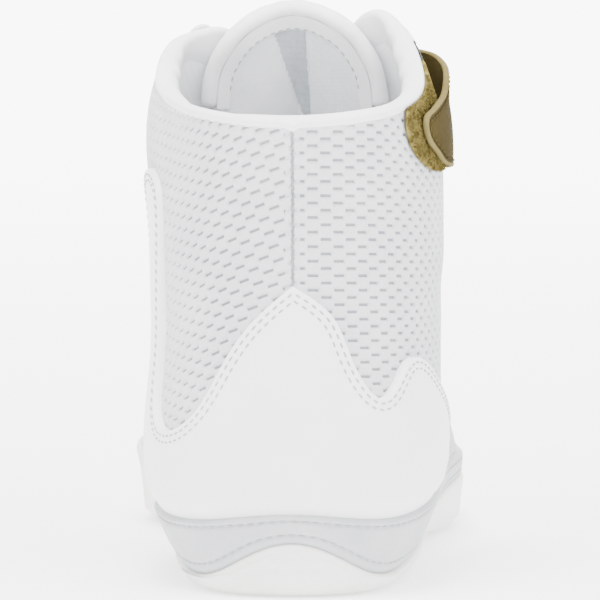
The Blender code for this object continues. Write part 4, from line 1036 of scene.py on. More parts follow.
smooth_roll = np.concatenate([through(rolled[:15], 0.0006), rolled[15:]])
thinner = ease(np.abs(turns), *LATERAL_TURNS[[ANKLE, LOBE]])
profile = np.repeat(smooth_roll[None], COLLAR_STEPS, axis=0)
profile[..., 0] *= (1 - 0.55 * thinner)[:, None]
profile[..., 1] *= (1 - 0.40 * thinner)[:, None]
# The padding sinks where the medial side bends forward, and stands up at the lateral side's lobe.
sunk = np.exp(-(((turns * GIRTH[-1] + 0.036) / 0.016) ** 2))
profile[..., 1] -= 0.0026 * sunk[:, None] * (profile[..., 0] < -0.0012)
raised = 0.0030 * np.exp(-(((turns - LATERAL_TURNS[LOBE]) / 0.030) ** 2))
raised += 0.0056 * np.exp(-(((np.arange(COLLAR_STEPS) - 9) / 9) ** 2))
profile[..., 1] += raised[:, None] * ease(profile[..., 1], -0.0016, 0.0)
# Where the foam bends round the ankle it buckles a little, on the inside.
buckle = 0.00035 * np.sin(turns * 260) * np.exp(-(((np.abs(turns) - LATERAL_TURNS[ANKLE]) / 0.045) ** 2))
profile[..., 0] += buckle[:, None] * (profile[..., 0] < -0.004)
notch = 0.0011 * np.exp(-((turns * 230) ** 2))
profile[:, :9, 1] -= notch[:, None]
verts, faces = sweep(ends, facing, profile)
collar = new_piece("collar_roll", verts, faces, PADDING, ("collar_binding",), "collar_roll")
turned_out("collar_roll")

columns = round_shoe(141)
open_here = (turn_at(columns) > collar_reach[0]) & (turn_at(columns) < collar_reach[1])
below_roll = mix(0.013, 0.006, ease(np.abs(turn_at(columns)), *LATERAL_TURNS[[ANKLE, LOBE]]))
lining_top = at_ring(TOP_CLIMB, columns) - np.where(open_here, below_roll, 0)
shares = np.linspace(0, 1, 51)
around, share = np.meshgrid(columns, shares)
verts = skin(around, share * lining_top, -UPPER_WALL)
new_piece("lining", verts, sheet_faces(51, 281)[:, ::-1], LINING, ("upper",), "mesh_fabric")

# The tongue. Its outer face is a fine mesh over foam, and its inner face is mesh too, with a darker
# open-mesh channel that narrows towards its foot. A soft roll 5 mm thick binds its arched top, with
# a smooth strip and a seam inside it. It is sewn into the vamp under the throat.
TONGUE_WIDTH = 0.0475
TONGUE_HEIGHT = 0.1600
TONGUE_ARCH = 0.0265
TONGUE_LEAN = 0.0016
TONGUE_THICKNESS = 0.0045
TONGUE_CLEARANCE = 0.0024
TONGUE_CROWN = 0.0030
TONGUE_ROLL = 0.0024
FRONT_BULGE = 0.35


def rise_at_width(turn, width):
    """The rise at which the rib comes this near to the middle plane, for ribs that cross the throat."""
    turn, width = np.broadcast_arrays(np.atleast_1d(turn).astype(float), width)
    rises, points = rib_samples(turn, 0.45, 111)
    return first_crossing(rises, width[:, None] - np.abs(points[..., 0]))


def ridge_turn(along, side):
    """The turn at which the ridge passes this share of the last's length."""
    turns = np.linspace(LATERAL_TURNS[SHIN], 1, 200) * side
    ridge = last_points(turns, np.ones(len(turns)))[:, 1]
    return float(np.interp(along * LAST_LENGTH - HEEL_SETBACK, ridge, turns))


VAMP_TURN = {side: ridge_turn(THROAT_END, side) for side in (1, -1)}


def level_outline(height):
    """The shaft's outline at one height, and how far round each of its points lies.

    It runs from the front round the medial side and the back to the front again. Where the throat
    is open, the last ends, and the outline goes on to a point in front of it.
    """
    if height in OUTLINES:
        return OUTLINES[height]
    halves = []
    for side in (-1, 1):
        turns = side * np.linspace(0, LATERAL_TURNS[INSTEP], 60)
        rises = rise_at_height(turns, np.full(len(turns), height))
        ends = (rises > 1 - 1e-6) & (np.abs(turns) > LATERAL_TURNS[LOBE])
        count = ends.argmax() if ends.any() else len(turns)
        line = last_points(turns[:count], rises[:count])[:, :2]
        front = [0, line[-1, 1] + FRONT_BULGE * abs(line[-1, 0])]
        halves.append(np.concatenate([line, [front]]))
    medial, lateral = halves
    medial[-1] = lateral[-1] = (medial[-1] + lateral[-1]) / 2
    swings = []
    for line in halves:
        run = run_along(line)
        swings.append(run / run[-1])
    points = np.concatenate([medial[:0:-1], lateral])
    OUTLINES[height] = np.concatenate([-swings[0][:0:-1], swings[1]]), points
    return OUTLINES[height]


OUTLINES = {}


def on_hoop(swing, height, lift=0.0):
    """A point on the shaft's outline. Swing is 0 at the back seam and 1 in front, over the tongue."""
    swings, points = level_outline(round(float(height), 5))
    there, before, after = (
        np.array([np.interp((at + 1) % 2 - 1, swings, points[:, axis]) for axis in (0, 1)])
        for at in (swing, swing - 0.03, swing + 0.03)
    )
    tangent = after - before
    outward = np.array([tangent[1], -tangent[0]]) / np.linalg.norm(tangent)
    return np.array([*(there + outward * lift), height])


def slant(height):
    """How much longer a level lift is than one square to the shaft's front, which leans back at its foot."""
    return mix(1.45, 1.0, float(ease(height, 0.115, 0.150)))


def on_shaft_front(x, height, lift):
    """The point of the shaft's level outline in front, at this x."""
    run = np.array([on_hoop(swing, height, lift) for swing in np.linspace(0.6, 1.4, 41)])
    return np.array([x, np.interp(-x, -run[:, 0], run[:, 1]), height])


def tongue_grid():
    """Rows across the tongue, from under the vamp to its arched top."""
    reach = np.sin(np.linspace(math.pi / 2, -math.pi / 2, 13))
    rows = []
    crown = TONGUE_CROWN * (1 - ease(np.abs(reach), 0.10, 0.46))
    insets = crown - UPPER_WALL - TONGUE_CLEARANCE
    for along in np.linspace(THROAT_END + 0.035, 0.40, 7):
        row = []
        for share, inset in zip(reach, insets):
            turn = np.array([ridge_turn(along, 1 if share > 0 else -1)])
            width = abs(share) * TONGUE_WIDTH / 2
            rise = rise_at_width(turn, width) if width > 1e-6 else np.ones(1)
            tucked = mix(inset, insets[0], float(ease(along, THROAT_END - 0.08, THROAT_END)))
            row.append(on_last(turn, rise, tucked)[0])
        rows.append(row)
    base = np.array(rows[-1])
    for step in (0.28, 0.46, 0.64, 0.82, 1.0):
        row = []
        for share, inset, low in zip(reach, insets, base):
            top = TONGUE_HEIGHT - TONGUE_ARCH * (1 - math.sqrt(max(0, 1 - share**2)))
            height = mix(low[2], top, step)
            row.append(on_shaft_front(share * TONGUE_WIDTH / 2 - step * TONGUE_LEAN, height, slant(height) * inset))
        rows.append(row)
    return np.array(rows)


def dense(grid, across, up):
    """A grid of points with more rows and columns, on smooth lines through its own."""
    for axis, spacing in ((1, across), (0, up)):
        lines = np.moveaxis(grid, axis, 0)
        run = np.concatenate([[0], np.cumsum(np.linalg.norm(np.diff(lines, axis=0), axis=2).mean(axis=1))])
        places = np.linspace(0, run[-1], round(run[-1] / spacing) + 1)
        flat = lines.reshape(len(lines), -1)
        lines = on_spline(run, flat, knot_slopes(run, flat), places).reshape(len(places), *lines.shape[1:])
        grid = np.moveaxis(lines, 0, axis)
    return grid


def grid_facing(grid):
    """Unit vectors square to a grid of points."""
    facing = np.cross(np.gradient(grid, axis=1), np.gradient(grid, axis=0))
    return unit(facing)


# The channel's left and right edge at its foot and at its top, as x and height.
CHANNEL_FOOT, CHANNEL_TOP = (-0.0008, 0.0026, 0.1330), (-0.0080, 0.0016, 0.1545)
tongue_front = dense(tongue_grid(), 0.0007, 0.0009)
facing = grid_facing(tongue_front)
facing *= np.sign(facing[len(facing) // 2, facing.shape[1] // 2, 1])
# At the arched edge the grid's own lines run together, so the facing comes from just below it.
facing[-11:] = facing[-12]


def evened(values, spread):
    """Values averaged with their neighbours along an edge, which they keep at its two ends."""
    reach = np.arange(-3 * spread, 3 * spread + 1)
    weights = np.exp(-((reach / spread) ** 2) / 2)
    before = 2 * values[:1] - values[1:3 * spread + 1][::-1]
    after = 2 * values[-1:] - values[-3 * spread - 1:-1][::-1]
    padded = np.concatenate([before, values, after])
    columns = [np.convolve(column, weights / weights.sum(), "valid") for column in padded.reshape(len(padded), -1).T]
    return np.stack(columns, axis=1).reshape(values.shape)


# The fold of the mesh over the instep is pressed flat where the roll binds it.
level_out = ease(tongue_front[..., 2], 0.118, 0.140)
flat_depth = evened(np.moveaxis(tongue_front[..., 1:2], 1, 0), 6)
tongue_front[..., 1] = mix(tongue_front[..., 1], np.moveaxis(flat_depth, 0, 1)[..., 0], level_out)
facing = np.moveaxis(evened(np.moveaxis(facing, 1, 0), 5), 0, 1)
facing = unit(facing)
inner = tongue_front - facing * TONGUE_THICKNESS
x, level = inner[..., 0], inner[..., 2]
share = (level - CHANNEL_FOOT[2]) / (CHANNEL_TOP[2] - CHANNEL_FOOT[2])
left, right = (mix(CHANNEL_FOOT[i], CHANNEL_TOP[i], share) for i in (0, 1))
channel = ease(x, left - 0.0004, left + 0.0006) * (1 - ease(x, right - 0.0006, right + 0.0004))
channel *= ease(level, 0.1200, 0.1230)
inner = inner + facing * (0.0007 * channel)[..., None]
rows, across = tongue_front.shape[:2]
body = np.concatenate([tongue_front, inner[:, ::-1]], axis=1)
faces = [tuple(face) for face in sheet_faces(rows, 2 * across, closed=True)]
faces += [tuple(range(2 * across)), tuple(range((rows - 1) * 2 * across, rows * 2 * across))]

# Open mesh: rows of small round holes, as a height.
HOLES, given, result = shade_group("Open mesh", {"Pitch": 0.0013}, ("Height",))
place = add_node(HOLES, "TexCoord").outputs["Object"]
cells = add_node(HOLES, "TexVoronoi", {
    "Vector": place, "Scale": per_metre(HOLES, given["Pitch"]), "Randomness": 0.25})
HOLES.links.new(cells.outputs["Distance"], result["Height"])

MESH_INNER = finish("Tongue mesh", (232, 233, 235), (218, 221, 224), 0.9,
                    [(HOLES, {"Pitch": 0.0011}, 0.00025, 0.55)], specular=0.2)
MESH_CHANNEL = finish("Channel mesh", (186, 190, 195), (166, 171, 177), 0.95,
                      [(HOLES, {"Pitch": 0.0017}, 0.0004, 0.8)])
tongue = new_piece("tongue_body", body.reshape(-1, 3), faces, MESH_INNER, ("tongue",), "tongue_mesh")
tongue.data.materials.append(MESH_CHANNEL)
full = np.concatenate([np.zeros_like(channel), channel[:, ::-1]], axis=1)
cell = np.minimum(full[:-1], full[1:])
cell = np.minimum(cell, np.roll(cell, -1, axis=1)).ravel()
for polygon in tongue.data.polygons:
    if polygon.index < len(cell) and cell[polygon.index] > 0.5:
        polygon.material_index = 1
turned_out("tongue_body")

# The binding roll follows the tongue's top edge, creased where it bends most.
top = tongue_front[-1]
turning = np.gradient(top, axis=0)
square = facing[-1]
away = np.cross(square, turning)
away *= np.sign(away[len(away) // 2, 2])
away = unit(away)
middle = through((top - square * TONGUE_THICKNESS / 2 + away * (TONGUE_ROLL + 0.0002))[::3], 0.0006)
shares = np.linspace(0, 1, len(middle))
outward = np.stack([np.interp(shares, np.linspace(0, 1, len(away)), away[:, axis]) for axis in range(3)], axis=1)
angles = np.linspace(0, 2 * math.pi, 25)[:-1]
oval = np.stack([np.cos(angles), 1.12 * np.sin(angles)], axis=1) * (TONGUE_ROLL + 0.0001)
creased = 1 + 0.035 * np.sin(shares * 96) * np.exp(-(((shares - 0.5) / 0.16) ** 2)) + 0.03 * np.sin(shares * 41 + 1)
round_ends = np.sqrt(np.clip(1 - (1 - np.clip(np.minimum(shares, 1 - shares) / 0.018, 0, 1)) ** 2, 0.05, 1))
BINDING = finish("Soft binding", (234, 235, 236), (226, 227, 229), 0.62, [(GRAIN, {"Grain": 0.0006}, 0.00005, 0.3)])
verts, faces = sweep(middle, outward, oval, creased * round_ends)
binding = new_piece("tongue_roll", verts, faces, BINDING, ("tongue_binding",), "binding")
turned_out("tongue_roll")

# The strip inside the roll, on the tongue's inner face, and the seam that holds it.
strip = np.array([top - square * (TONGUE_THICKNESS + 0.0005 - 0.0009 * (inset > 0.003)) - away * inset
                  for inset in (-0.0016, -0.0004, 0.0006, 0.0015, 0.0024, 0.0028, 0.0031)])
new_piece("tongue_strip", strip.reshape(-1, 3), sheet_faces(len(strip), strip.shape[1]), BINDING, (), "binding")
seam = top - square * (TONGUE_THICKNESS + 0.0005) - away * 0.0024
new_piece("tongue_stitches", *capsules(seam[3:-3], -square[3:-3], 0.0017, 0.0010, 0.00024), THREAD)

# The ankle strap. A woven gold webbing 36 mm wide, sewn down on the medial side, drawn round the
# front and closed on the lateral side. A paler folded binding edges it, with a row of dark stitches.
STRAP_WIDTH = 0.036
STRAP_HEIGHT = 0.134
STRAP_THICKNESS = 0.0016
STRAP_SIDE_LIFT = 0.0029
STRAP_FRONT_LIFT = 0.0096
STRAP_TILT = 0.04
SWING_LENGTH = 0.128

# Where the hoops lie, looked up once for a table of heights and swings.
HOOP_LEVELS, HOOP_SWINGS = np.linspace(0.108, 0.158, 26), np.linspace(0.25, 1.40, 240)
HOOP_POINTS = np.array([[on_hoop(swing, level) for swing in HOOP_SWINGS] for level in HOOP_LEVELS])
HOOP_FACING = np.array([[on_hoop(swing, level, 0.001) for swing in HOOP_SWINGS] for level in HOOP_LEVELS]) - HOOP_POINTS


def on_strap(places, lift):
    """Points over the shaft, given by (distance round it from the back, height), this far out."""
    swing, level = places[:, 0] / SWING_LENGTH, places[:, 1]
    i = np.interp(level, HOOP_LEVELS, np.arange(len(HOOP_LEVELS))).clip(0, len(HOOP_LEVELS) - 1.001)
    j = np.interp(swing, HOOP_SWINGS, np.arange(len(HOOP_SWINGS))).clip(0, len(HOOP_SWINGS) - 1.001)
    low, left = i.astype(int), j.astype(int)
    i, j = (i - low)[:, None], (j - left)[:, None]
    point, out = (
        mix(mix(grid[low, left], grid[low + 1, left], i), mix(grid[low, left + 1], grid[low + 1, left + 1], i), j)
        for grid in (HOOP_POINTS, HOOP_FACING))
    out = unit(out)
    slants = mix(1.45, 1.0, ease(level, 0.115, 0.150))
    near_front = ease(1 - np.abs(swing - 1), 0.66, 0.86)
    above = level - STRAP_HEIGHT
    tilted = np.where(above > 0, 0.30, 0.08) * above * (1 - near_front) + STRAP_TILT * above * near_front
    tilted = tilted * (1 - ease(swing, 1.06, 1.22))
    base = mix(STRAP_SIDE_LIFT, STRAP_FRONT_LIFT * slants, near_front) + tilted
    return point + out * (base + lift)[:, None], out


def strap_height(share):
    """The height above the floor of a share of the strap's width, from its middle."""
    return STRAP_HEIGHT + share * STRAP_WIDTH


tip = through([(swing * SWING_LENGTH, strap_height(share)) for swing, share in (
    (0.482, -0.500), (0.433, -0.475), (0.405, -0.420), (0.375, -0.360), (0.350, -0.280), (0.343, -0.200),
    (0.352, -0.130), (0.384, -0.080), (0.446, -0.010), (0.500, 0.055), (0.551, 0.160))], 0.001)
upper_edge = through([(swing * SWING_LENGTH, strap_height(share)) for swing, share in (
    (0.551, 0.16), (0.579, 0.22), (0.644, 0.32), (0.700, 0.39), (0.800, 0.46), (1.000, 0.50), (1.265, 0.44))], 0.001)
lower_edge = through([(swing * SWING_LENGTH, strap_height(share)) for swing, share in (
    (1.265, -0.52), (1.000, -0.50), (0.800, -0.51), (0.600, -0.52), (0.482, -0.50))], 0.001)
STRAP_EDGE = np.concatenate([tip, upper_edge[1:], lower_edge[:-1]])


def slab(outline, place, wall, edge_round, dips=(), hump=0.0):
    """A closed slab over a surface: an outer face with a rounded edge, and a flat inner face."""
    insets = (edge_round * 0.12, edge_round * 0.35, edge_round * 0.7, edge_round, 0.0015, 0.0018, 0.0021, 0.0026)
    flat, faces, away, edge = filled(outline, insets, 0.0016, 0.0034)
    bulge = np.sqrt(1 - (1 - np.clip(away / edge_round, 0, 1)) ** 2)
    lifts = wall * (0.5 + 0.5 * bulge) + hump * np.exp(-(((away - 0.0009) / 0.0007) ** 2))
    for where, depth in dips:
        lifts = lifts - depth * np.exp(-(((away - where) / 0.0004) ** 2))
    upper, lower = place(flat, lifts)[0], place(flat, wall * (0.5 - 0.5 * bulge))[0]
    count = len(flat)
    following = np.roll(edge, -1)
    side = np.stack([edge, edge + count, following + count, following], axis=1)
    faces = [tuple(f) for f in faces] + [tuple(f[::-1] + count) for f in faces] + [tuple(f) for f in side]
    return np.concatenate([upper, lower]), faces, away


# Webbing: a plain weave of flat yarns, as a height.
WEAVE, given, result = shade_group("Webbing", {"Yarn": 0.0011}, ("Height",))
place = add_node(WEAVE, "TexCoord").outputs["Object"]
count = per_metre(WEAVE, given["Yarn"], WAVE_PITCH)
wefts, warps = (bands(WEAVE, place, count, 0.8, direction) for direction in ("Z", "Y"))
woven = add_node(WEAVE, "Math", {0: wefts, 1: warps}, operation="MULTIPLY")
WEAVE.links.new(woven.outputs[0], result["Height"])

GOLD = finish("Gold webbing", (60, 51, 23), (49, 41, 16), 0.9,
              [(WEAVE, {"Yarn": 0.0009}, 0.0001, 0.4)], specular=0.05)
GOLD_EDGE = finish("Pale gold edge", (112, 101, 62), (94, 83, 46), 0.9,
                   [(WEAVE, {"Yarn": 0.0007}, 0.00008, 0.5)], specular=0.1)
DARK_THREAD = finish("Dark gold thread", (66, 56, 28), (52, 44, 20), 0.9, specular=0.1)
verts, faces, away = slab(STRAP_EDGE, on_strap, STRAP_THICKNESS, 0.0007, dips=[(0.0020, 0.0003)], hump=0.0002)
strap = new_piece("strap_webbing", verts, faces, GOLD, ("ankle_strap",), "gold_strap")
strap.data.materials.append(GOLD_EDGE)
away = np.concatenate([away, away])
for polygon in strap.data.polygons:
    if np.mean([away[i] for i in polygon.vertices]) < 0.0009:
        polygon.material_index = 1
turned_out("strap_webbing")
path = offset_path(STRAP_EDGE, 0.0020)
path = np.concatenate([path, path[:1]])
on, out = on_strap(path, STRAP_THICKNESS + 0.0001)
new_piece("strap_stitches", *capsules(on, out, 0.0017, 0.0010, 0.00024), DARK_THREAD)

# The pad under the strap's end. A woven tape of fine loop pile, sewn flat on the fabric, that the
# strap's hooks press into. Its border stands out round the strap's end.
PAD_WALL = 0.0012
pad_middle = STRAP_HEIGHT - 0.22 * STRAP_WIDTH
PAD_EDGE = by_height(through([(0.082, 0.1175)] + [(place, pad_middle + above) for place, above in (
    (0.060, -0.0115), (0.050, -0.0090), (0.0435, -0.0045), (0.0415, 0.0), (0.0430, 0.0050), (0.0480, 0.0090),
    (0.0550, 0.0128), (0.0640, 0.0195), (0.0720, 0.0235), (0.084, 0.0240))], 0.001))


def on_pad(places, lift):
    """Points over the fabric at the pad, this far out from its back, and the way out there."""
    points = skin(places[:, 0], places[:, 1], OVERLAY_GAP + lift)
    return points, skin(places[:, 0], places[:, 1], OVERLAY_GAP + lift + 0.001) - points


PILE = finish("Loop pile", (130, 116, 66), (84, 74, 36), 0.95,
              [(WEAVE, {"Yarn": 0.0008}, 0.0002, 0.6)], specular=0.05,
              tone=(0.002, 0.0006), spread=(0.40, 0.60))
verts, faces, _ = slab(PAD_EDGE, on_pad, PAD_WALL, 0.0006)
new_piece("pile_tape", verts, faces, PILE, ("strap_pad",), "loop_pile")
turned_out("pile_tape")
random = np.random.default_rng(4)
low, high = PAD_EDGE.min(axis=0) - 0.0004, PAD_EDGE.max(axis=0) + 0.0004
seeds = random.uniform(low, high, (12000, 2))
seeds = seeds[inside_outline(seeds, PAD_EDGE) & (seeds[:, 0] < 0.076)][:4200]
at, out = on_pad(seeds, PAD_WALL * random.uniform(0.5, 1.0, len(seeds)))
out = unit(out)
lean = random.normal(0, 1, (len(seeds), 3))
lean -= (lean * out).sum(axis=1)[:, None] * out
lean = unit(lean)
span = random.uniform(0.0004, 0.0009, len(seeds))[:, None]
arcs = np.linspace(0, math.pi, 5)
loops = at[:, None] + lean[:, None] * (1 - np.cos(arcs))[None, :, None] * span[:, None] / 2 \
    + out[:, None] * np.sin(arcs)[None, :, None] * span[:, None] * 0.9
across = np.cross(lean, out)[:, None]
third = np.stack([across * math.cos(a) + out[:, None] * math.sin(a) for a in (0.5, 2.6, 4.7)], axis=2)
verts = (loops[:, :, None] + third * 0.00009).reshape(-1, 3)
one = sheet_faces(5, 3, closed=True)
faces = (one[None] + (np.arange(len(seeds)) * 15)[:, None, None]).reshape(-1, 4)
new_piece("pile_loops", verts, faces, PILE, (), "loop_pile")

# The rand. A grey-white leather band, folded at its upper edge, that laps over the counter and the
# fabric all round above the sole. One row of stitches holds its top, and a second row its foot.
rand_around = round_shoe(361)
top, foot = at_ring(BAND_CLIMB, rand_around), at_ring(SOLE_CLIMB, rand_around)
from_top = np.array((-0.0004, 0.0000, 0.0003, 0.0007, 0.0011, 0.0015, 0.0018, 0.0021, 0.0025, 0.0032))
from_foot = np.array((0.0052, 0.0044, 0.0037, 0.0033, 0.0030, 0.0027, 0.0021, 0.0014, 0.0008, 0.0, -0.0010))
top_lifts = np.array((-0.0008, 0.0010, 0.0018, 0.0022, 0.0022, 0.0019, 0.0017, 0.0019, 0.0022, 0.0022))
foot_lifts = np.array((0.0022, 0.0022, 0.0021, 0.0018, 0.0016, 0.0018, 0.0021, 0.0021, 0.0019, 0.0014, 0.0004))
squeeze = np.clip((top - foot) / 0.0095, 0.3, 1)
upper_rows = top - from_top[:, None] * squeeze
lower_rows = foot + from_foot[:, None] * squeeze
middle_rows = mix(upper_rows[-1], lower_rows[0], np.array((0.33, 0.67))[:, None])
rows = np.concatenate([upper_rows, middle_rows, lower_rows])
lifts = np.concatenate([top_lifts, (0.0022, 0.0022), foot_lifts])[:, None] * np.ones(rows.shape[1])
verts = skin(np.broadcast_to(rand_around, rows.shape), rows, lifts)
RAND = finish("Grey-white band leather", (180, 182, 184), (168, 170, 173), 0.55,
              [(GRAIN, {"Grain": 0.0010}, 0.00008, 0.3)],
              tone=(0.012, 0.0012))
new_piece("rand_band", verts, sheet_faces(*rows.shape)[:, ::-1], RAND, ("rand",), "band_leather")
RAND_STITCH = (0.0019, 0.0011, 0.00027)
stitch_lines = []
for line, lift in ((top - 0.0018 * squeeze, 0.0019), (foot + 0.0030 * squeeze, 0.0018)):
    fine = np.linspace(rand_around[0], rand_around[-1], 1500)
    path = np.stack([fine, np.interp(fine, rand_around, line)], axis=1)
    stitch_lines.append(capsules(*skin_run(path, lift), *RAND_STITCH))
new_piece("rand_stitches", *join(stitch_lines), THREAD)

# The outsole. One moulded cup of white rubber: a low wall that rises to a peak behind the heel and in
# a wing on each side of the ball, a rounded edge, and a tread of low bars across the heel and the ball.
SOLE_WALL = 0.0026
TREAD_DEPTH = 0.0012
TREAD_PITCH = 0.0085
TREAD_GROOVE = 0.0024
TREAD_ZONES = ((0.075, 0.225), (0.600, 0.745))
sole_around = round_shoe(381)
sole_turns = turn_at(sole_around)


def foot_ring(outward, up):
    """The last's foot outline moved outward, at this height above the sole's underside."""
    level = np.zeros(len(sole_turns))
    points = last_points(sole_turns, level)
    ahead, behind = (last_points(np.clip(sole_turns + step, -1, 1), level) for step in (0.002, -0.002))
    tangent = ahead - behind
    normal = np.stack([tangent[:, 1], -tangent[:, 0], level], axis=1)
    outward = outward + 0.0012 * np.exp(-(((sole_around + 0.048) / 0.030) ** 2))
    moved = points + unit(normal) * outward[:, None]
    moved[:, 2] = sole_underside(station(moved[:, 1])) + up
    return moved


foot_climb = at_ring(SOLE_CLIMB, sole_around)
wall_rows = [skin(sole_around, foot_climb - 0.0008, 0.0001)]
for down, lift in (
        (0.0, 0.0011), (0.0003, 0.0021), (0.0008, 0.0027), (0.0013, 0.0029), (0.0017, 0.0026), (0.0021, 0.0028)):
    wall_rows.append(skin(sole_around, foot_climb - np.minimum(down, foot_climb * 0.45 * down / 0.0021), lift))
lower = np.where(foot_climb < 0.0042, foot_climb * 0.5, foot_climb - 0.0026)
wall_rows.append(skin(sole_around, lower, 0.0029))
edge_rows = np.array([wall_rows[-1], foot_ring(SOLE_WALL + 0.0003, 0.0044)])
wall = np.array([mix(*edge_rows, share) for share in np.linspace(0, 1, 9)[1:]])
under = [foot_ring(outward, up) for outward, up in (
    (SOLE_WALL + 0.0001, 0.0036), (SOLE_WALL - 0.0006, 0.0033), (SOLE_WALL - 0.0008, 0.0030), (0.0016, 0.0026),
    (0.0011, 0.0019), (0.0003, 0.0012), (-0.0007, 0.0007), (-0.0018, 0.0004), (-0.0030, 0.0001), (-0.0044, 0.0),
    (-0.0060, 0.0))]
rows = np.concatenate([wall_rows, wall, under])
# Grooves moulded into the wall: two short ones behind the heel, and ribs where the wall bends inward.
outward = rows - rows.mean(axis=(0, 1))
outward[..., 2] = 0
outward = unit(outward)
level = rows[..., 2]
cut = np.zeros(level.shape)
from_heel = np.abs(sole_around)
for height, reach in ((0.0118, 0.0050), (0.0079, 0.0076)):
    cut += 0.0006 * np.exp(-(((level - height) / 0.0005) ** 2)) * (1 - ease(from_heel, reach - 0.0006, reach + 0.0006))
for start, end in ((0.040, 0.066), (0.255, 0.280)):
    span = ease(from_heel, start, start + 0.002) * (1 - ease(from_heel, end - 0.002, end))
    cut += 0.0004 * span * np.clip(np.sin(sole_around * 2 * math.pi / 0.0034), 0, 1) * ease(level, 0.0022, 0.0034) * (
        1 - ease(level, 0.0060, 0.0075))
rows = rows - outward * cut[..., None]
count = rows.shape[1]
half = count // 2
medial, lateral = rows[-1][half::-1], rows[-1][half:]
across = np.linspace(0, 1, 41)[1:-1]
floor_rows = np.array([mix(medial, lateral, share) for share in across])
floor_rows[..., 2] = sole_underside(station(floor_rows[..., 1]))
for start, end in TREAD_ZONES:
    bars = round((end - start) * LAST_LENGTH / TREAD_PITCH)
    for y in np.linspace(start, end, bars + 1) * LAST_LENGTH - HEEL_SETBACK:
        floor_rows[..., 2] += TREAD_DEPTH * ease(TREAD_GROOVE / 2 - np.abs(floor_rows[..., 1] - y), -0.0004, 0.0004)
shape_rows = np.concatenate([rows.reshape(-1, 3), np.array([medial, *floor_rows, lateral]).reshape(-1, 3)])
faces = [tuple(face) for face in sheet_faces(len(rows), count)[:, ::-1]]
base = rows.shape[0] * count
faces += [tuple(face) for face in (sheet_faces(len(across) + 2, half + 1) + base)]
RUBBER_DUST, given, result = shade_group("Moulded rubber", {"Speck": 0.0012}, ("Height",))
place = add_node(RUBBER_DUST, "TexCoord").outputs["Object"]
specks = add_node(RUBBER_DUST, "TexNoise", {
    "Vector": place, "Scale": per_metre(RUBBER_DUST, given["Speck"]), "Detail": 2.0})
RUBBER_DUST.links.new(specks.outputs["Fac"], result["Height"])
RUBBER = finish("White rubber", (232, 231, 228), (222, 221, 217), 0.5,
                [(RUBBER_DUST, {"Speck": 0.0009}, 0.00008, 0.35)])
new_piece("cup_sole", shape_rows, faces, RUBBER, ("outsole",), "white_rubber")

# The toe cap. Smooth white leather over the toe, in two halves that meet on its ridge, with a folded
# rear edge sewn down by two rows of thread.
EDGE_STEPS = (-0.0002, 0.0, 0.0003, 0.0007, 0.0012, 0.0015, 0.0018, 0.0022, 0.0028, 0.0031, 0.0034, 0.0040)
EDGE_LIFTS = (-0.0006, 0.0006, 0.0011, 0.0014, 0.0013, 0.0012, 0.0013, 0.0014, 0.0013, 0.0012, 0.0013, 0.0014)
OVERLAY_STITCH = (0.0018, 0.0011, 0.00026)
halves, seams = [], []
for side in (-1, 1):
    start = TOE_START * GIRTH[side]
    inward = np.concatenate([EDGE_STEPS, np.linspace(0.0060, GIRTH[side] - start, 64)])
    places = (start + inward) * side
    lifts = np.concatenate([EDGE_LIFTS, np.full(64, EDGE_LIFTS[-1])])
    low = at_ring(BAND_CLIMB, places) - 0.0015
    rise = np.linspace(0, 1, 49)[:, None]
    climbs = mix(low, rib_end(places), rise)
    verts = skin(np.broadcast_to(places, climbs.shape), climbs, np.broadcast_to(lifts, climbs.shape))
    # On the ridge both halves stand straight up from it, so that their edges meet.
    ridge = skin(places, rib_end(places))
    upright = (skin(places, rib_end(places), 0.001) - ridge) * (0, 1, 1)
    verts[-len(places):] = ridge + unit(upright) * lifts[:, None]
    grid = sheet_faces(49, len(places))
    halves.append((verts, grid if side > 0 else grid[:, ::-1]))
    for inset in (0.0015, 0.0031):
        place = (start + inset) * side
        climbs = mix(at_ring(BAND_CLIMB, place) + 0.002, rib_end(place), np.linspace(0, 1, 120))
        path = np.stack([np.full(120, place), climbs], axis=1)
        seams.append(capsules(*skin_run(path, 0.0012), *OVERLAY_STITCH))
toe = new_piece("toe_leather", *join(halves), LEATHER, ("toe_cap",), "toe_leather")


def close_ridge(made, within):
    """Welds the two halves of a piece where they meet on the ridge."""
    shape = bmesh.new()
    shape.from_mesh(made.data)
    bmesh.ops.remove_doubles(shape, verts=[v for v in shape.verts if abs(v.co.x) < 0.0006], dist=within)
    bmesh.ops.recalc_face_normals(shape, faces=shape.faces)
    shape.to_mesh(made.data)
    shape.free()


close_ridge(toe, 0.0003)
new_piece("toe_stitches", *join(seams), THREAD)

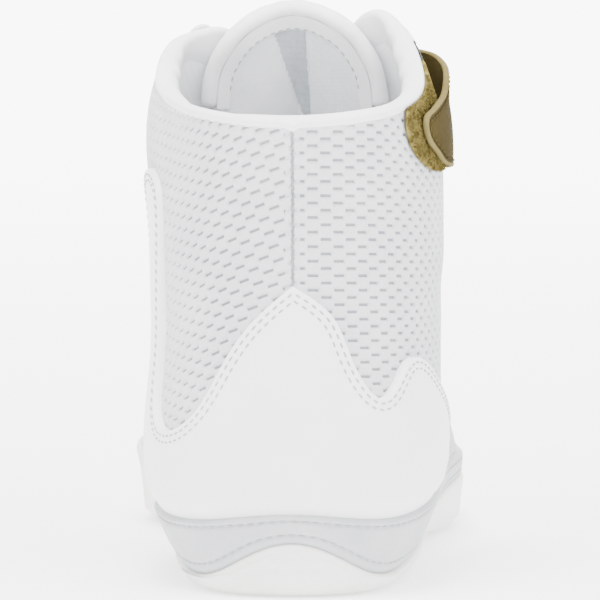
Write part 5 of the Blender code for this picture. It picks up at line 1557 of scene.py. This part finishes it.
# The facing. A smooth leather U round the throat that carries the eyelets. Its edges are rounded, and
# two rows of thread sew its outer one.
INNER_ROWS = (0.0, 0.015, 0.035, 0.06, 0.085, 0.11, 0.14, *np.linspace(0.19, 0.88, 12), 0.93, 0.97, 1.0)
halves, seams = [], []
for side in (-1, 1):
    turns = side * np.linspace(STAY_START, 1, 900)
    wide = throat_rise(turns, EYESTAY_WIDTH)
    across = np.nonzero(wide < 1 - 1e-6)[0]
    turns = turns[across[0]:across[-1] + 2]
    turns = np.linspace(turns[0], turns[-1], 260)
    outer, inner_edge = throat_rise(turns, EYESTAY_WIDTH), throat_rise(turns)
    width = np.linalg.norm(last_points(turns, outer) - last_points(turns, inner_edge), axis=1)
    # Beyond the throat's foot the two sides meet on the ridge.
    opened = (inner_edge < 1 - 1e-6) | (np.abs(turns) < 0.6)
    grid = []
    for share in INNER_ROWS:
        rise = mix(outer, inner_edge, share)
        away = np.minimum(share * width, np.where(opened, (1 - share) * width, 1.0))
        lift = OVERLAY_GAP - 0.0004 + 0.0013 * np.sqrt(1 - (1 - np.clip(away / 0.0008, 0, 1)) ** 2)
        lift -= 0.0002 * np.exp(-(((away - 0.0020) / 0.0005) ** 2))
        grid.append(on_last(turns, rise, lift))
    # The facing's inner edge turns round the throat's edge to the lining.
    for lift, back in ((-0.0004, 0.0), (-0.0016, 0.0), (-UPPER_WALL - 0.0002, 0.004)):
        rise = np.where(opened, inner_edge - back, 1.0)
        grid.append(on_last(turns, rise, np.where(opened, lift, OVERLAY_GAP + 0.0009)))
    faces = sheet_faces(len(grid), len(turns))
    halves.append((np.concatenate(grid), faces if side > 0 else faces[:, ::-1]))
    for inset in (0.0020, 0.0034):
        rise = mix(outer, inner_edge, np.clip(inset / width, 0, 1))
        keep = width > 0.006
        seams.append(capsules(
            on_last(turns[keep], rise[keep], 0.0011), last_normals(turns[keep], rise[keep]), *OVERLAY_STITCH))
facing_piece = new_piece("facing", *join(halves), LEATHER, ("eyestay",), "facing_leather")
close_ridge(facing_piece, 0.0010)
new_piece("facing_stitches", *join(seams), THREAD)

# The eyelets. Seven enamelled rings on each side of the throat, pressed through the facing, each a
# rolled rim over a dark disc of painted shade in its hole.
EYELET_ROWS = 7
STAY_TOP = 0.345
EYELET_INSET = 0.008
EYELET_MARGIN = 0.045
EYELET_RADIUS = 0.0034
EYELET_WIRE = 0.0009
LACE_RADIUS = 0.0016
LACE_SQUARENESS = 2.8
SEAM_GAP = 0.0003


def eyelet_places(side):
    """Middle of each eyelet on one side, and the way its surface faces, evenly spaced from the top down."""
    turns = np.linspace(STAY_TOP, abs(VAMP_TURN[side]) - EYELET_MARGIN, 60) * side
    rises = throat_rise(turns, EYELET_INSET)
    line = last_points(turns, rises)
    run = run_along(line)
    places = np.linspace(0, run[-1], EYELET_ROWS)
    turns, rises = np.interp(places, run, turns), np.interp(places, run, rises)
    lift = OVERLAY_GAP + OVERLAY_WALL + 3 * SEAM_GAP + EYELET_WIRE
    return on_last(turns, rises, lift), last_normals(turns, rises)


ring_angles, wire_angles = np.linspace(0, 2 * math.pi, 33)[:-1], np.linspace(0, 2 * math.pi, 13)[:-1]
rings, shade_discs, eyelet_ends = [], [], {}
for side in (1, -1):
    places, normals = eyelet_places(side)
    eyelet_ends[side] = places + normals * LACE_RADIUS
    for place, normal in zip(places, normals):
        first = np.cross(normal, (0, 0, 1))
        first /= np.linalg.norm(first)
        second = np.cross(normal, first)
        spoke = first * np.cos(ring_angles)[:, None] + second * np.sin(ring_angles)[:, None]
        rim = spoke[:, None] * (EYELET_RADIUS + EYELET_WIRE * 1.1 * np.cos(wire_angles))[:, None] \
            + normal * (EYELET_WIRE * np.sin(wire_angles) - 0.0004)[:, None]
        rings.append(((place + rim).reshape(-1, 3), [
            (i * 12 + j, i * 12 + (j + 1) % 12, (i + 1) % 32 * 12 + (j + 1) % 12, (i + 1) % 32 * 12 + j)
            for i in range(32) for j in range(12)]))
        # A dark disc just under each ring: painted shade where the hole is.
        shade_discs.append((place + spoke * EYELET_RADIUS - normal * 0.0011, [tuple(range(32))]))
ENAMEL = finish("White enamel", (232, 232, 232), (224, 224, 224), 0.3, coat=0.3)
# The discs' dark grey is painted shade.
HOLE_SHADE = finish("Eyelet holes", (92, 93, 95), (80, 81, 83), 0.9)
names = [f"eyelet_{side}_{number}" for side in ("lateral", "medial") for number in range(1, EYELET_ROWS + 1)]
new_piece("eyelet_rings", *join(rings), ENAMEL, names, "eyelet_enamel")
turned_out("eyelet_rings")
new_piece("eyelet_holes", *join(shade_discs), HOLE_SHADE)

# The laces. A round braided white cord, 3.2 mm thick, crosses the tongue between the eyelets, and runs
# straight over between the lowest two.
centre_line = through(tongue_grid()[:, 6], 0.002)


def lace_run(start, end, crest, clear):
    """A lace drawn from one eyelet to another over a crest, ending this far short of each."""
    short = clear / np.linalg.norm(end - start)
    shares = np.linspace(short, 1 - short, 49)[:, None]
    return mix(start, end, shares) + (crest - (start + end) / 2) * (1 - np.abs(2 * shares - 1) ** LACE_SQUARENESS)


def crest_over(start, end, layers):
    """The point on the tongue's middle line nearest to the lace's, raised by this many cords."""
    middle = (start + end) / 2
    index = np.linalg.norm(centre_line - middle, axis=1).argmin()
    along = centre_line[min(index + 1, len(centre_line) - 1)] - centre_line[max(index - 1, 0)]
    out = np.cross(along, (1, 0, 0))
    out *= np.sign(out[1]) / np.linalg.norm(out)
    return centre_line[index] + out * (layers * LACE_RADIUS + 2 * SEAM_GAP)


cord_angles = np.linspace(0, 2 * math.pi, 15)[:-1]
section = np.stack([np.cos(cord_angles), np.sin(cord_angles)], axis=1) * LACE_RADIUS
runs = []
for number in range(EYELET_ROWS - 1):
    for side, layers in ((1, 2.4), (-1, 1.3)):
        start, end = eyelet_ends[side][number], eyelet_ends[-side][number + 1]
        runs.append(lace_run(start, end, crest_over(start, end, layers), EYELET_RADIUS * 0.25))
shift = np.array([0, 2 * SEAM_GAP + LACE_RADIUS, 0])
start, end = eyelet_ends[1][-1] + shift, eyelet_ends[-1][-1] + shift
runs.append(lace_run(start, end, crest_over(start, end, 3.2), EYELET_RADIUS * 0.5))
CORD = finish("Braided lace", (240, 240, 240), (226, 227, 229), 0.8,
              [(KNIT, {"Yarn": 0.0005}, 0.0002, 0.7)], sheen=0.2)
cords = []
for run in runs:
    out = np.cross(np.gradient(run, axis=0), (0, 0, 1.0))
    out = np.cross(out, np.gradient(run, axis=0))
    tight = 1 - 0.35 * np.exp(-((np.minimum(np.arange(49), 48 - np.arange(49)) / 1.6) ** 2))
    cords.append(sweep(run, out, section, tight))
names = [f"lace_crossing_{number}" for number in range(1, EYELET_ROWS)] + ["lace_bar"]
new_piece("laces", *join(cords), CORD, names, "lace_cord")
turned_out("laces")

# The insole. A grey foam sheet under a brushed cloth face, lying loose in the foot. The solid's own
# shape shows here, under the cloth's finish.
INSOLE = finish("Insole cloth", (196, 198, 200), (182, 184, 187), 0.95,
                [(TWILL, {"Rib": 0.0012}, 0.00015, 0.5)], sheen=0.3)
bpy.data.objects["insole"].data.materials.clear()
bpy.data.objects["insole"].data.materials.append(INSOLE)
